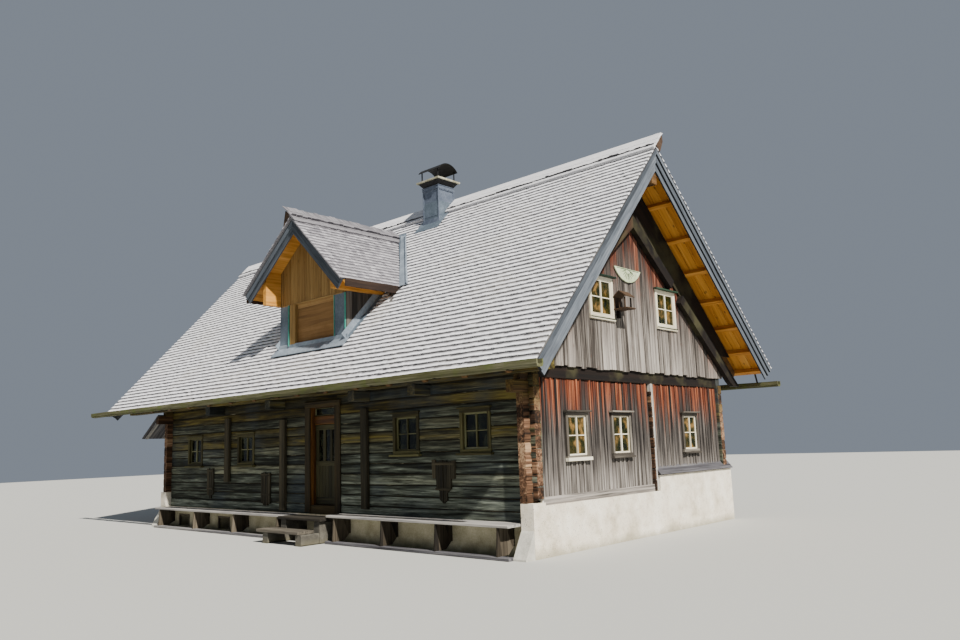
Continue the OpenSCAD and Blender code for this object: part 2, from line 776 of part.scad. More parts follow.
module low_boarding(rear_z) difference() {
    union() {
        low_field(wall_in_y, cross_y - cross_t / 2, gable_base);
        low_field(cross_y + cross_t / 2, back_in_y, rear_z);
    }
    gable_holes(gable_x - 1, 1);
    box(gable_x - 1, 1, plinth_step_y, house_w, 0, rear_z);
}

module up_boarding() difference() {
    intersection() {
        along_x(-upper_t, 0) translate([-upper_past, upper_bottom])
            square([house_w + upper_past - upper_in, ridge_z - upper_bottom]);
        under_roof(rafter_top, -upper_t, 0);
    }
    attic_holes(-upper_t - 1, 1);
    eave_beam_body();
    box(-house_l, 1, ridge_y - ridge_beam_w / 2, ridge_y + ridge_beam_w / 2,
        ridge_beam_top - ridge_beam_h, ridge_beam_top);
}

module boarding_right_low() color("#7b5a3e") place() low_boarding(apron_h);

module boarding_right_up() color("#a8a39a") place() up_boarding();

module boarding_left() color("#8d7f6c") place() at_left() {
    low_boarding(gable_base);
    up_boarding();
}

// A small lean-to roof on the left gable with two brackets below it
pent_y0 = -200;
pent_y1 = 1950;
pent_out = 800;
pent_top = 2950;
pent_t = 60;
pent_fall = 590;
bracket_y = [400, 1820];
bracket_w = 80;
bracket_h = 450;

module pent_slope(t0, t1, out) polygon([[-clad_t, pent_top - t0], [-clad_t, pent_top - t1],
    [out, pent_top - t1 - pent_fall * (out + clad_t) / (pent_out + clad_t)],
    [out, pent_top - t0 - pent_fall * (out + clad_t) / (pent_out + clad_t)]]);

module pent_roof() color("#8b857b") place() at_left() difference() {
    union() {
        along_y(pent_y0, pent_y1) pent_slope(0, pent_t, pent_out);
        for (y = bracket_y)
            along_y(y, y + bracket_w) difference() {
                pent_slope(pent_t / 2, bracket_h, pent_out * 0.65);
                translate([0, pent_top - pent_fall - bracket_h]) rotate([0, 0, -25])
                    square([pent_out, bracket_h * 1.1]);
            }
    }
    box(gable_x, -gable_set + side_head, wall_y, wall_in_y, 0, wall_top);
}

module gutter_section() difference() {
    square([gutter_w, gutter_h]);
    translate([gutter_t, gutter_t]) square([gutter_w - 2 * gutter_t, gutter_h]);
}

gutter_z = roof_f(-eave_f, 0) - gutter_low - gutter_h;
gutter_back_z = roof_b(house_w + eave_b, 0) - gutter_low_b - gutter_h;

module gutters() color("#7c7568") place() {
    along_x(roof_x0 - gutter_past_l, over_r + gutter_past) translate([gutter_y, gutter_z])
        gutter_section();
    along_x(roof_x0, over_r + gutter_past_b) translate([gutter_back_y - gutter_w, gutter_back_z])
        gutter_section();
}

// Section of a hook: a flat bar under the boards, a drop behind the gutter and a seat below it
module hook_section(p0, p1, p2, p3, e0, e1, y_gutter, z, dir) {
    polygon([p0, p1, p2, p3]);
    polygon([p0, p3, e1, e0]);
    polygon([e0, e1, [y_gutter, z], [y_gutter - dir * hook_t, z]]);
    polygon([[y_gutter, z], [y_gutter, z - hook_t],
        [y_gutter - dir * (gutter_w - 20), z - hook_t], [y_gutter - dir * (gutter_w - 20), z]]);
}

// Iron hooks that carry the gutters
hook_in = 400;
hook_w = 40;
hook_arm = 40;
hook_d = deck_d + seat;

module gutter_hooks() color("#3a3836") place() for (i = [0 : hook_n - 1]) {
    x = roof_x0 + hook_in + i * (over_r - roof_x0 - 2 * hook_in) / (hook_n - 1);
    along_x(x, x + hook_w) {
        hook_section(at_f(0, hook_d), at_f(hook_arm, hook_d), at_f(hook_arm, hook_d + hook_t),
            at_f(0, hook_d + hook_t), at_f(-1.5 * hook_t, hook_d), at_f(-hook_t, hook_d + hook_t),
            gutter_y + gutter_w + 1.5 * hook_t, gutter_z, 1);
        hook_section(at_b(0, hook_d), at_b(hook_arm, hook_d), at_b(hook_arm, hook_d + hook_t),
            at_b(0, hook_d + hook_t), at_b(-1.5 * hook_t, hook_d), at_b(-hook_t, hook_d + hook_t),
            gutter_back_y - gutter_w - 1.5 * hook_t, gutter_back_z, -1);
    }
}

// Everything above the front slope, ahead of the ridge
module over_roof() along_x(dx - dorm_far, dx + dorm_far)
    polygon([[-eave_f, roof_f(-eave_f, -seat)], [ridge_y, roof_f(ridge_y, -seat)],
        [ridge_y, chimney_top], [-eave_f, chimney_top]]);

// Everything below both slopes of the dormer's roof at a depth
module dorm_under(d) intersection() {
    polygon([[dx - dorm_far, dorm_low], [dx + dorm_far, dorm_low],
        [dx + dorm_far, dorm_l(dx + dorm_far, d)], [dx - dorm_far, dorm_l(dx - dorm_far, d)]]);
    polygon([[dx - dorm_far, dorm_low], [dx + dorm_far, dorm_low],
        [dx + dorm_far, dorm_r(dx + dorm_far, d)], [dx - dorm_far, dorm_r(dx - dorm_far, d)]]);
}

module dorm_layer(d0, d1, y0, y1, edge) intersection() {
    along_y(y0, y1) intersection() {
        difference() {
            dorm_under(d0);
            dorm_under(d1);
        }
        translate([dx - dormer_run_l - edge, dorm_low])
            square([dormer_run_l + dormer_run_r + 2 * edge, chimney_top - dorm_low]);
    }
    over_roof();
}

// A point s down the dormer's right slope from its ridge and h above it
function dorm_at(s, h) = [dx + s * cos(dormer_pitch_r) + h * sin(dormer_pitch_r),
    dormer_ridge_z - s * sin(dormer_pitch_r) + h * cos(dormer_pitch_r)];

module dorm_cap_strip() along_y(dorm_roof_y - 2 * dorm_barge_t - 20, dorm_back_y)
    polygon([dorm_at(dorm_cap_down, -dorm_lap), dorm_at(dorm_cap_down, dorm_cap_t),
        dorm_at(-dorm_cap_past, dorm_cap_t), dorm_at(-dorm_cap_past, -dorm_lap)]);

module dorm_cap() intersection() {
    dorm_cap_strip();
    over_roof();
}

module dorm_shingle_body() {
    dorm_layer(0, dorm_shingle, dorm_roof_y - 2 * dorm_barge_t - 10, dorm_back_y, 30);
    dorm_cap();
}

module dormer_shingles() color("#8f8b85") place() dorm_shingle_body();

// Boards and, over the dormer's sides, the purlins that carry them
dorm_purlin = 120;

module dorm_roof_body() {
    dorm_layer(dorm_shingle + seat, dormer_roof_t, dorm_roof_y, dorm_back_y, 0);
    for (s = [-1, 1]) intersection() {
        along_y(dorm_roof_y + dorm_purlin / 2, dorm_back_y) intersection() {
            dorm_under(dormer_roof_t - dorm_lap);
            translate([dx + s * (dormer_half + dorm_purlin / 2) - dorm_purlin / 2, dorm_gable_z])
                square([dorm_purlin, dormer_ridge_z - dorm_gable_z]);
        }
        over_roof();
    }
}

module dormer_roof() color("#c8934f") place() dorm_roof_body();

// The region between the feet of the dormer's slopes, cut square to each slope
dorm_barge_h = 250;
module dorm_feet(out, inner) polygon([
    [dx - dormer_run_l - out * sin(dormer_pitch_l),
        dorm_l(dx - dormer_run_l, 0) + out * cos(dormer_pitch_l)],
    [dx - dormer_run_l + inner * sin(dormer_pitch_l),
        dorm_l(dx - dormer_run_l, 0) - inner * cos(dormer_pitch_l)],
    [dx + dormer_run_r - inner * sin(dormer_pitch_r),
        dorm_r(dx + dormer_run_r, 0) - inner * cos(dormer_pitch_r)],
    [dx + dormer_run_r + out * sin(dormer_pitch_r),
        dorm_r(dx + dormer_run_r, 0) + out * cos(dormer_pitch_r)],
    [dx, dormer_ridge_z + dorm_far]]);

module dormer_barge() color("#5f6b7c") place() for (i = [0 : 1])
    along_y(dorm_roof_y - (i + 1) * dorm_barge_t, dorm_roof_y - i * dorm_barge_t) intersection() {
        difference() {
            dorm_under(dorm_shingle + seat);
            dorm_under(dorm_shingle + dorm_barge_h * (2 - i) / 2);
        }
        dorm_feet(dorm_barge_h, 2 * dorm_barge_h);
    }

module dormer_walls() color("#4d4a45") place() difference() {
    intersection() {
        union() {
            for (s = [-1, 1])
                translate([dx + s * (dormer_half - dormer_wall_t / 2) - dormer_wall_t / 2, 0, 0])
                    box(0, dormer_wall_t, dormer_y, dorm_back_y, dorm_low, dormer_ridge_z);
            box(dx - dormer_half, dx + dormer_half, dormer_y, dormer_y + dormer_wall_t, dorm_low,
                dorm_gable_z);
        }
        along_y(dormer_y, dorm_back_y) dorm_under(dormer_roof_t + seat);
        over_roof();
    }
    dormer_hole(dormer_y - 1, dormer_y + dormer_wall_t + 1);
}

module dormer_hole(y0, y1) box(dorm_open_x - dormer_open_w / 2, dorm_open_x + dormer_open_w / 2,
    y0, y1, dorm_sill, dorm_sill + dormer_open_h);

gable_panel_t = 60;
panel_in = 40;
panel_t = 30;

module dormer_front() color("#cf9a55") place() {
    along_y(dormer_y, dormer_y + gable_panel_t) intersection() {
        dorm_under(dormer_roof_t + seat);
        translate([dx - dorm_in, dorm_gable_z]) square([2 * dorm_in, dormer_ridge_z - dorm_gable_z]);
    }
    intersection() {
        dormer_hole(dormer_y + panel_in, dormer_y + panel_in + panel_t);
        over_roof();
    }
}

// Plan of the metal strip in a valley beside the dormer
valley_w = 170;
valley_up = 120;
valley_in = 2;
cheek_w = 130;
cheek_l = 1100;
dorm_apron = 190;

module valley_plan(s, run, z_end) polygon([
    [dx, dorm_meet(dormer_ridge_z) + valley_in],
    [dx + s * run, dorm_meet(z_end) + valley_in],
    [dx + s * (run + valley_w), dorm_meet(z_end) + valley_in],
    [dx + s * valley_w, dorm_meet(dormer_ridge_z) + valley_up],
    [dx, dorm_meet(dormer_ridge_z) + valley_up]]);

module roof_sheet(t) layer_f(0, -t, -seat, roof_x0, 0);

module flashing() color("#c3c8cc") place() {
    difference() {
        intersection() {
            roof_sheet(sheet_t);
            translate([0, 0, dorm_low]) linear_extrude(chimney_top - dorm_low) {
                valley_plan(1, dormer_run_r, dorm_r(dx + dormer_run_r, 0));
                valley_plan(-1, dormer_run_l, dorm_l(dx - dormer_run_l, 0));
                translate([dx - dormer_half - cheek_w, dormer_y - dorm_apron])
                    square([2 * (dormer_half + cheek_w), dorm_apron]);
                for (s = [-1, 1])
                    translate([dx + s * (dormer_half + cheek_w / 2) - cheek_w / 2,
                        dormer_y - dorm_apron])
                        square([cheek_w, cheek_l]);
            }
        }
        dorm_cap_strip();
    }
    intersection() {
        box(dx - dormer_half, dx + dormer_half, dormer_y - sheet_t, dormer_y, dorm_low,
            dorm_sill - 5);
        over_roof();
    }
    difference() {
        union() {
            box(cx - chimney_w / 2 - sheet_t, cx + chimney_w / 2 + sheet_t,
                cy - chimney_w / 2 - sheet_t, cy + chimney_w / 2 + sheet_t, ridge_z - cap_past,
                ridge_z + cap_past / 2);
            intersection() {
                union() {
                    layer_f(0, -sheet_t, -seat, roof_x0, 0);
                    layer_b(0, -sheet_t, -seat, roof_x0, 0);
                }
                union() {
                    apron_box(apron_side, cy - chimney_w / 2 - apron_front,
                        ridge_y - cap_down * cos(pitch_f) - roof_gap);
                    apron_box(cap_gap - sheet_t / 2, cy - chimney_w / 2 - apron_front,
                        cy + chimney_w / 2 + apron_side);
                    apron_box(apron_side, ridge_y + 2 * roof_gap, cy + chimney_w / 2 + apron_side);
                }
            }
        }
        under_roof(-seat, roof_x0, 0);
        chimney_shaft();
    }
}

// Room around the chimney, out to its sides and between two distances from the front
module apron_box(out, y0, y1) box(cx - chimney_w / 2 - out, cx + chimney_w / 2 + out, y0, y1,
    gable_top, chimney_top);

module chimney_shaft() box(cx - chimney_w / 2, cx + chimney_w / 2, cy - chimney_w / 2,
    cy + chimney_w / 2, floor_top, chimney_top);

module chimney() color("#8d939b") place() difference() {
    union() {
        chimney_shaft();
        box(cx - chimney_w / 2 - band_out, cx + chimney_w / 2 + band_out,
            cy - chimney_w / 2 - band_out, cy + chimney_w / 2 + band_out,
            chimney_top - band_low, chimney_top - band_low + band_h);
    }
    box(cx - flue_w / 2, cx + flue_w / 2, cy - flue_w / 2, cy + flue_w / 2, floor_top + 300,
        chimney_top + 1);
}

cowl_w = cover_w - 120;
cowl_l = cover_w - 40;
cowl_z = chimney_top + cover_t + cowl_post;
cowl_r = (cowl_w * cowl_w / 4 + cowl_rise * cowl_rise) / (2 * cowl_rise);
cowl_leg = 30;
cowl_in = 45;

module chimney_cowl() color("#777d85") place() translate([cx, cy, 0]) {
    difference() {
        box(-cover_w / 2, cover_w / 2, -cover_w / 2, cover_w / 2, chimney_top,
            chimney_top + cover_t);
        box(-flue_w / 2, flue_w / 2, -flue_w / 2, flue_w / 2, chimney_top - 1,
            chimney_top + cover_t + 1);
    }
    for (x = [-1, 1], y = [-1, 1])
        translate([x * (cowl_l / 2 - 2 * cowl_in), y * (cowl_w / 2 - cowl_in), 0])
            box(-cowl_leg / 2, cowl_leg / 2, -cowl_leg / 2, cowl_leg / 2, chimney_top + cover_t,
                cowl_z + cowl_in);
    along_x(-cowl_l / 2, cowl_l / 2) intersection() {
        translate([0, cowl_z + cowl_rise - cowl_r]) difference() {
            circle(cowl_r);
            circle(cowl_r - sheet_t);
        }
        translate([-cowl_w / 2, cowl_z]) square([cowl_w, cowl_rise + 1]);
    }
}

// The frame of the doorway: a threshold beam, jambs, rail, head, casing and the hinge pins
module door_frame() color("#7a4f2e") place() {
    box(open_x0, open_x1, wall_y, wall_in_y, plinth_front_h, door_sill);
    for (s = [-1, 1]) {
        translate([-door_x + s * (open_w - jamb_t) / 2, 0, 0]) {
            box(-jamb_t / 2, jamb_t / 2, wall_y, wall_in_y, door_sill, open_top);
            box(-jamb_t / 2 - s * stop_t, jamb_t / 2 - s * stop_t, wall_y + 40,
                wall_in_y - leaf_t - 2 * leaf_gap, door_sill, light_z);
        }
        translate([-door_x + s * (open_w - 2 * jamb_t + casing_w + jamb_t) / 2, 0, 0])
            box(-casing_w / 2 - jamb_t / 2, casing_w / 2 + jamb_t / 2, wall_y - casing_t, wall_y,
                plinth_front_h + 30, open_top - jamb_t);
    }
    box(open_x0, open_x1, wall_in_y - leaf_t - 2 * leaf_gap, wall_in_y, rail_z, light_z);
    box(open_x0, open_x1, wall_y, wall_in_y, open_top - jamb_t, open_top);
    box(open_x0 - casing_w, open_x1 + casing_w, wall_y - casing_t, wall_y, open_top - jamb_t,
        open_top + 40);
    for (z = hinge_z) {
        box(hinge_x - 80, hinge_x - 20, wall_in_y, hinge_y + 10, z - 14, z);
        box(hinge_x - 80, hinge_x, hinge_y - 10, hinge_y + 10, z - 14, z);
        translate([hinge_x, hinge_y, z - 14]) cylinder(r = barrel_r, h = 14);
        translate([hinge_x, hinge_y, z - 8]) cylinder(r = pin_r, h = barrel_h + 8);
    }
}

module leaf_slots(y0, y1) for (i = [-1 : 1])
    translate([-door_x + i * (slot_w + slot_bar), 0, 0])
        box(-slot_w / 2, slot_w / 2, y0, y1, leaf_z + 910, leaf_z + leaf_h - 110);

module front_door() color("#5e5344") place() {
    difference() {
        box(hinge_x, hinge_x + leaf_w, wall_in_y - leaf_t, wall_in_y, leaf_z, leaf_z + leaf_h);
        leaf_slots(wall_in_y - leaf_t - 1, wall_in_y + 1);
    }
    for (z = hinge_z) difference() {
        union() {
            box(hinge_x, hinge_x + leaf_w * 0.7, wall_in_y, wall_in_y + 8, z + 10, z + 60);
            box(hinge_x, hinge_x + 30, wall_in_y, hinge_y + barrel_r, z + 10, z + 60);
            translate([hinge_x, hinge_y, z + 1]) cylinder(r = barrel_r, h = barrel_h - 1);
        }
        translate([hinge_x, hinge_y, z]) cylinder(r = pin_r + pin_gap, h = barrel_h + 1);
    }
}

module door_glass() color("#a9b8c0") place()
    leaf_slots(wall_in_y - leaf_t / 2 - pane_t / 2, wall_in_y - leaf_t / 2 + pane_t / 2);

// A frame with a middle bar, given by its outline and its depth
module frame_in(w, h, d) difference() {
    box(-w / 2, w / 2, 0, d, 0, h);
    for (s = [0, 1])
        box(s ? bar_w / 2 : frame_w - w / 2, s ? w / 2 - frame_w : -bar_w / 2, -1, d + 1, frame_w,
            h - frame_w);
}

module pane_in(w, h, y) for (s = [0, 1])
    box(s ? bar_w / 2 : frame_w - w / 2, s ? w / 2 - frame_w : -bar_w / 2, y, y + pane_t, frame_w,
        h - frame_w);

module window_part(w, h, d, glass) {
    if (glass) pane_in(w, h, d / 2);
    else frame_in(w, h, d);
}

module all_windows(glass) {
    for (x = front_win_x)
        translate([x, wall_y - 15, front_sill]) window_part(front_win_w, front_win_h, frame_d, glass);
    for (x = left_win_x)
        translate([x, wall_y - 15, left_sill]) window_part(front_win_w, left_win_h, frame_d, glass);
    for (x = back_win_x)
        translate([x, back_y + 15 - frame_d, back_sill])
            window_part(front_win_w, front_win_h, frame_d, glass);
    both_gables() {
        for (y = gable_win_y)
            translate([gable_x + clad_t + frame_out - gable_frame_d, y, win_sill])
                rotate([0, 0, -90])
                window_part(win_w, win_h, gable_frame_d, glass);
        for (y = attic_win_y)
            translate([frame_out - frame_d, y, attic_sill]) rotate([0, 0, -90])
                window_part(attic_win_w, attic_win_h, frame_d, glass);
    }
}

module window_frames() color("#ddd6c2") place() all_windows(false);

module panes() color("#a9b8c0") place() {
    all_windows(true);
    box(open_x0 + jamb_t, open_x1 - jamb_t, wall_in_y - 35 - pane_t, wall_in_y - 35, light_z,
        open_top - jamb_t);
}

// A bench: a plank on tapered legs that stand on a sill, with brackets at the plinth
bench_legs = 4;
leg_in = 250;
leg_w = 60;
leg_foot = 110;
leg_head = 30;
sill_w = 120;
sill_out = 15;
bracket_out = 200;
bracket_low = 330;

module bench(x0, x1, top, y_in) {
    low = top - bench_t;
    edge = plinth_y - bench_d;
    box(x0, x1, edge, y_in, low, top);
    box(x0, x1, edge - sill_out, edge - sill_out + sill_w, 0, bench_sill);
    for (i = [0 : bench_legs - 1]) {
        x = x0 + leg_in + i * (x1 - x0 - 2 * leg_in) / (bench_legs - 1);
        along_x(x - leg_w / 2, x + leg_w / 2) {
            polygon([[edge - sill_out + 5, bench_sill], [edge - sill_out + 5 + leg_foot, bench_sill],
                [edge + 20 + leg_head, low], [edge + 20, low]]);
            polygon([[plinth_y, low], [plinth_y - bracket_out, low],
                [plinth_y - leg_w, low - bracket_low], [plinth_y, low - bracket_low]]);
        }
    }
}

module benches() color("#9b968b") place() {
    bench(step_x1, gable_in_x, plinth_front_h + bench_t, wall_y);
    bench(bench_l_x0, step_x0, bench_l_top, plinth_y);
}

// Posts and wide planks on the front wall: middle, foot and head of each
posts = [[-9596, 1157, 2673], [-7216, 562, 2540], [-4348, 665, 2630]];
planks = [[-10435, 736, 1500], [-7934, 632, 1400], [-2152, 817, 1600]];
plank_w = 610;

module wall_plank(p, w, d) box(p[0] - w / 2, p[0] + w / 2, wall_y - d, wall_y, p[1], p[2]);

module wall_posts() color("#5a5248") place() {
    for (p = posts)
        wall_plank(p, post_w, post_d);
    for (p = planks)
        wall_plank(p, plank_w, plank_t);
}

// The platform at the door and the step in front of it, each on two blocks
board_t = 60;
block_in = 60;
block_w = 200;
block_back = 40;
step_low = 220;
step_y = plinth_y - step_d;
tread_d = 400;
tread_gap = 30;
tread_off = 140;

module door_step() color("#97938a") place() {
    box(step_x0, step_x1, step_y, plinth_y, step_top - board_t, step_top);
    box(step_x0 - tread_off, step_x1 - tread_off, step_y - tread_gap - tread_d, step_y - tread_gap,
        step_low, step_low + board_t);
    for (x = [step_x0 + block_in, step_x1 - block_in - block_w]) {
        box(x, x + block_w, step_y + block_back, plinth_y, 0, step_top - board_t);
        box(x, x + block_w, step_y - tread_d, step_y + block_back, 0, step_low);
    }
}

// A sundial cut as a low segment of a disc, flat side up
dial_y = ridge_y - 168;
dial_z = 4910;
dial_w = 960;
dial_h = 275;
dial_t = 25;
dial_r = (dial_w * dial_w / 4 + dial_h * dial_h) / (2 * dial_h);
// A feeder for birds on a shelf under its own small gabled roof
feeder_y = ridge_y - 724;
feeder_l = 250;
feeder_out = 300;
feeder_z = 4300;
feeder_h = 350;
feeder_t = 25;

module gable_fittings() color("#b3aea4") place() {
    along_x(0, dial_t) translate([dial_y, dial_z]) intersection() {
        translate([0, dial_r]) circle(dial_r);
        translate([-dial_w / 2, 0]) square([dial_w, dial_h]);
    }
    along_y(feeder_y, feeder_y + feeder_l) translate([0, feeder_z]) difference() {
        polygon([[0, 0], [feeder_out + feeder_t, 0], [feeder_out + feeder_t, feeder_t],
            [feeder_out * 0.85, feeder_t], [feeder_out * 0.85, feeder_h * 0.66],
            [feeder_out, feeder_h * 0.66], [feeder_out / 2, feeder_h], [0, feeder_h * 0.66]]);
        translate([feeder_t, feeder_t])
            square([feeder_out * 0.85 - 2 * feeder_t, feeder_h * 0.66 - 2 * feeder_t]);
    }
}

plinth_front();
vent_blocks();
plinth_back();
plinth_sides();
ground_floor();
front_wall_left();
front_wall_right();
front_wall_over_door();
back_wall();
right_wall();
left_wall();
ceiling_beams();
attic_floor();
eave_beam();
rafters();
purlins();
roof_boards();
shingles_front();
shingles_back();
ridge_cap();
barge_boards();
verge_rafters();
boarding_right_low();
boarding_right_up();
boarding_left();
pent_roof();
gutters();
gutter_hooks();
dormer_walls();
dormer_front();
dormer_roof();
dormer_shingles();
dormer_barge();
flashing();
chimney();
chimney_cowl();
door_frame();
front_door();
door_glass();
window_frames();
panes();
benches();
wall_posts();
door_step();
gable_fittings();
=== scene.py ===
# %% [markdown]
# A weathered log chalet in the mountains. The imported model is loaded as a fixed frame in
# metres. Every piece made here is given in the frame of the house's plinth, with its front
# right corner at the origin, and is shifted once into the frame of the model.

# %% Load the frame and keep its box
import math
import random
import bpy
import bmesh
import numpy as np
from mathutils import Matrix, Vector, noise


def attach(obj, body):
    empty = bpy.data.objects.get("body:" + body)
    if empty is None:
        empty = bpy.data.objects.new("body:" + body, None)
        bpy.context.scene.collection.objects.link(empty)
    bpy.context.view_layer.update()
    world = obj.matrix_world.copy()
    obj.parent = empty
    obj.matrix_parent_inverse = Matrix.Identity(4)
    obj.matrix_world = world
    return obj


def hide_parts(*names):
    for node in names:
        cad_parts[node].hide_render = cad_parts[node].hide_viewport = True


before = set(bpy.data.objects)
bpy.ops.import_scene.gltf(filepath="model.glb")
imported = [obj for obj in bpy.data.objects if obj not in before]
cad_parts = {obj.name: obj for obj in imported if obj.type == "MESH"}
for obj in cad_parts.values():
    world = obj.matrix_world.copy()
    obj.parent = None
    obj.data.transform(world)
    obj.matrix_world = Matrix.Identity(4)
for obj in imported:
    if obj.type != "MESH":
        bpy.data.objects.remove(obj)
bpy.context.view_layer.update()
SHIFT = np.array((7.125, -3.7095, 0.0))

# %% [markdown]
# The camera comes first. It stands in front of the right corner, at eye height, and looks
# slightly up, with the axes and the focal length of the photograph.

# %% Camera
EYE = Vector((8.1302, -10.0422, 1.8503))
FOCAL_PX, PICTURE_PX, SENSOR_MM = 786.556, 960, 36


def link(obj):
    """Puts an object into the scene."""
    bpy.context.scene.collection.objects.link(obj)
    return obj


def axes_matrix(x, y, z, origin):
    """A matrix from three axes and an origin."""
    return Matrix(((x[0], y[0], z[0], origin[0]), (x[1], y[1], z[1], origin[1]),
                   (x[2], y[2], z[2], origin[2]), (0, 0, 0, 1)))


cam_data = bpy.data.cameras.new("camera")
cam = link(bpy.data.objects.new("camera", cam_data))
cam.matrix_world = axes_matrix((0.735216, 0.676957, -0.034454), (0.130604, -0.0916, 0.987194),
                               (0.665132, -0.7303, -0.155759), EYE + Vector(SHIFT))
cam_data.sensor_width = SENSOR_MM
cam_data.lens = SENSOR_MM * FOCAL_PX / PICTURE_PX
cam_data.clip_end = 200
bpy.context.scene.camera = cam
print("camera at", [round(v, 2) for v in cam.location])

# %% [markdown]
# Every finish is built from nodes. One function turns a colour as a colour chart gives it
# into the numbers a socket wants, and one adds a node with all that belongs to it.

# %% Colours and nodes
def rgb(text):
    """An sRGB colour such as 8a7f70 as linear numbers for a socket."""
    parts = [int(text[i:i + 2], 16) / 255 for i in (0, 2, 4)]
    return tuple(c / 12.92 if c <= 0.04045 else ((c + 0.055) / 1.055) ** 2.4 for c in parts) + (1,)


def add(tree, kind, inputs=None, shades="", low=0.3, high=0.72, **settings):
    """Adds a node with its settings and its inputs: values, sockets, or nodes (first output).

    shades holds the stops of a colour ramp, from dark to light between low and high.
    """
    n = tree.nodes.new(kind)
    for key, value in settings.items():
        setattr(n, key, value)
    for key, value in (inputs or {}).items():
        if isinstance(value, bpy.types.Node):
            value = value.outputs[0]
        if isinstance(value, bpy.types.NodeSocket):
            tree.links.new(value, n.inputs[key])
        else:
            n.inputs[key].default_value = value
    for i, shade in enumerate(shades.split()):
        stops = n.color_ramp.elements
        stop = stops[i] if i < len(stops) else stops.new(1)
        stop.position = low + (high - low) * i / shades.count(" ")
        stop.color = rgb(shade)
    return n


def new_material(name):
    """A material, its tree and its surface node; the finish is set by the caller."""
    m = bpy.data.materials.new(name)
    m.use_nodes = True
    return m, m.node_tree, m.node_tree.nodes["Principled BSDF"]


print("white is", rgb("ffffff"))

# %% [markdown]
# A pale plain floor and a soft studio: one large warm lamp high on the right stands for the
# sun of the photograph, and an even cool light fills the shade.

# %% Floor and lights
FLOOR = 60
TOWARDS_SUN = Vector((0.684, -0.214, 0.697))
floor_mesh = bpy.data.meshes.new("floor")
floor_mesh.from_pydata([(x * FLOOR, y * FLOOR, 0) for x, y in ((-1, -1), (1, -1), (1, 1), (-1, 1))],
                       [], [(0, 1, 2, 3)])
m, tree, surface = new_material("studio_floor_matte_paint")
surface.inputs["Base Color"].default_value = rgb("adaeaa")
surface.inputs["Roughness"].default_value = 0.9
floor_mesh.materials.append(m)
link(bpy.data.objects.new("floor", floor_mesh))

sun = bpy.data.lights.new("sun", "SUN")
sun.energy = 10.0
sun.angle = math.radians(1.5)
sun.color = (1.0, 0.95, 0.87)
lamp = link(bpy.data.objects.new("sun", sun))
lamp.rotation_euler = TOWARDS_SUN.to_track_quat("Z", "Y").to_euler()
world = bpy.data.worlds.new("studio")
bpy.context.scene.world = world
world.use_nodes = True
sky = world.node_tree.nodes["Background"].inputs
sky["Color"].default_value = rgb("d3e0f2")
sky["Strength"].default_value = 0.33
print("lights", sun.energy, sky["Strength"].default_value)

# %% [markdown]
# Nearly everything on this house is sawn or hewn timber. Each piece is a skin over rings of
# points, mostly a section swept along its length. Modelling each board by hand would be slower,
# and one slab with painted joints would lack the shadows between the boards.

# %% A skin over rings
def skin(m, n, base=0):
    """Faces over n + 1 rings of m points, with both ends closed."""
    ends = [tuple(base + i for i in range(m)), tuple(base + n * m + i for i in range(m))]
    return ends + [(base + k * m + i, base + k * m + j, base + k * m + m + j, base + k * m + m + i)
                   for k in range(n) for i, j in zip(range(m), [*range(1, m), 0])]


print("a box has", len(skin(4, 1)), "faces")

# %% [markdown]
# A pile collects pieces of timber into one mesh. Two attributes go with each piece: the place
# within it, which carries its grain, and a tone of its own, so that no two boards look alike.

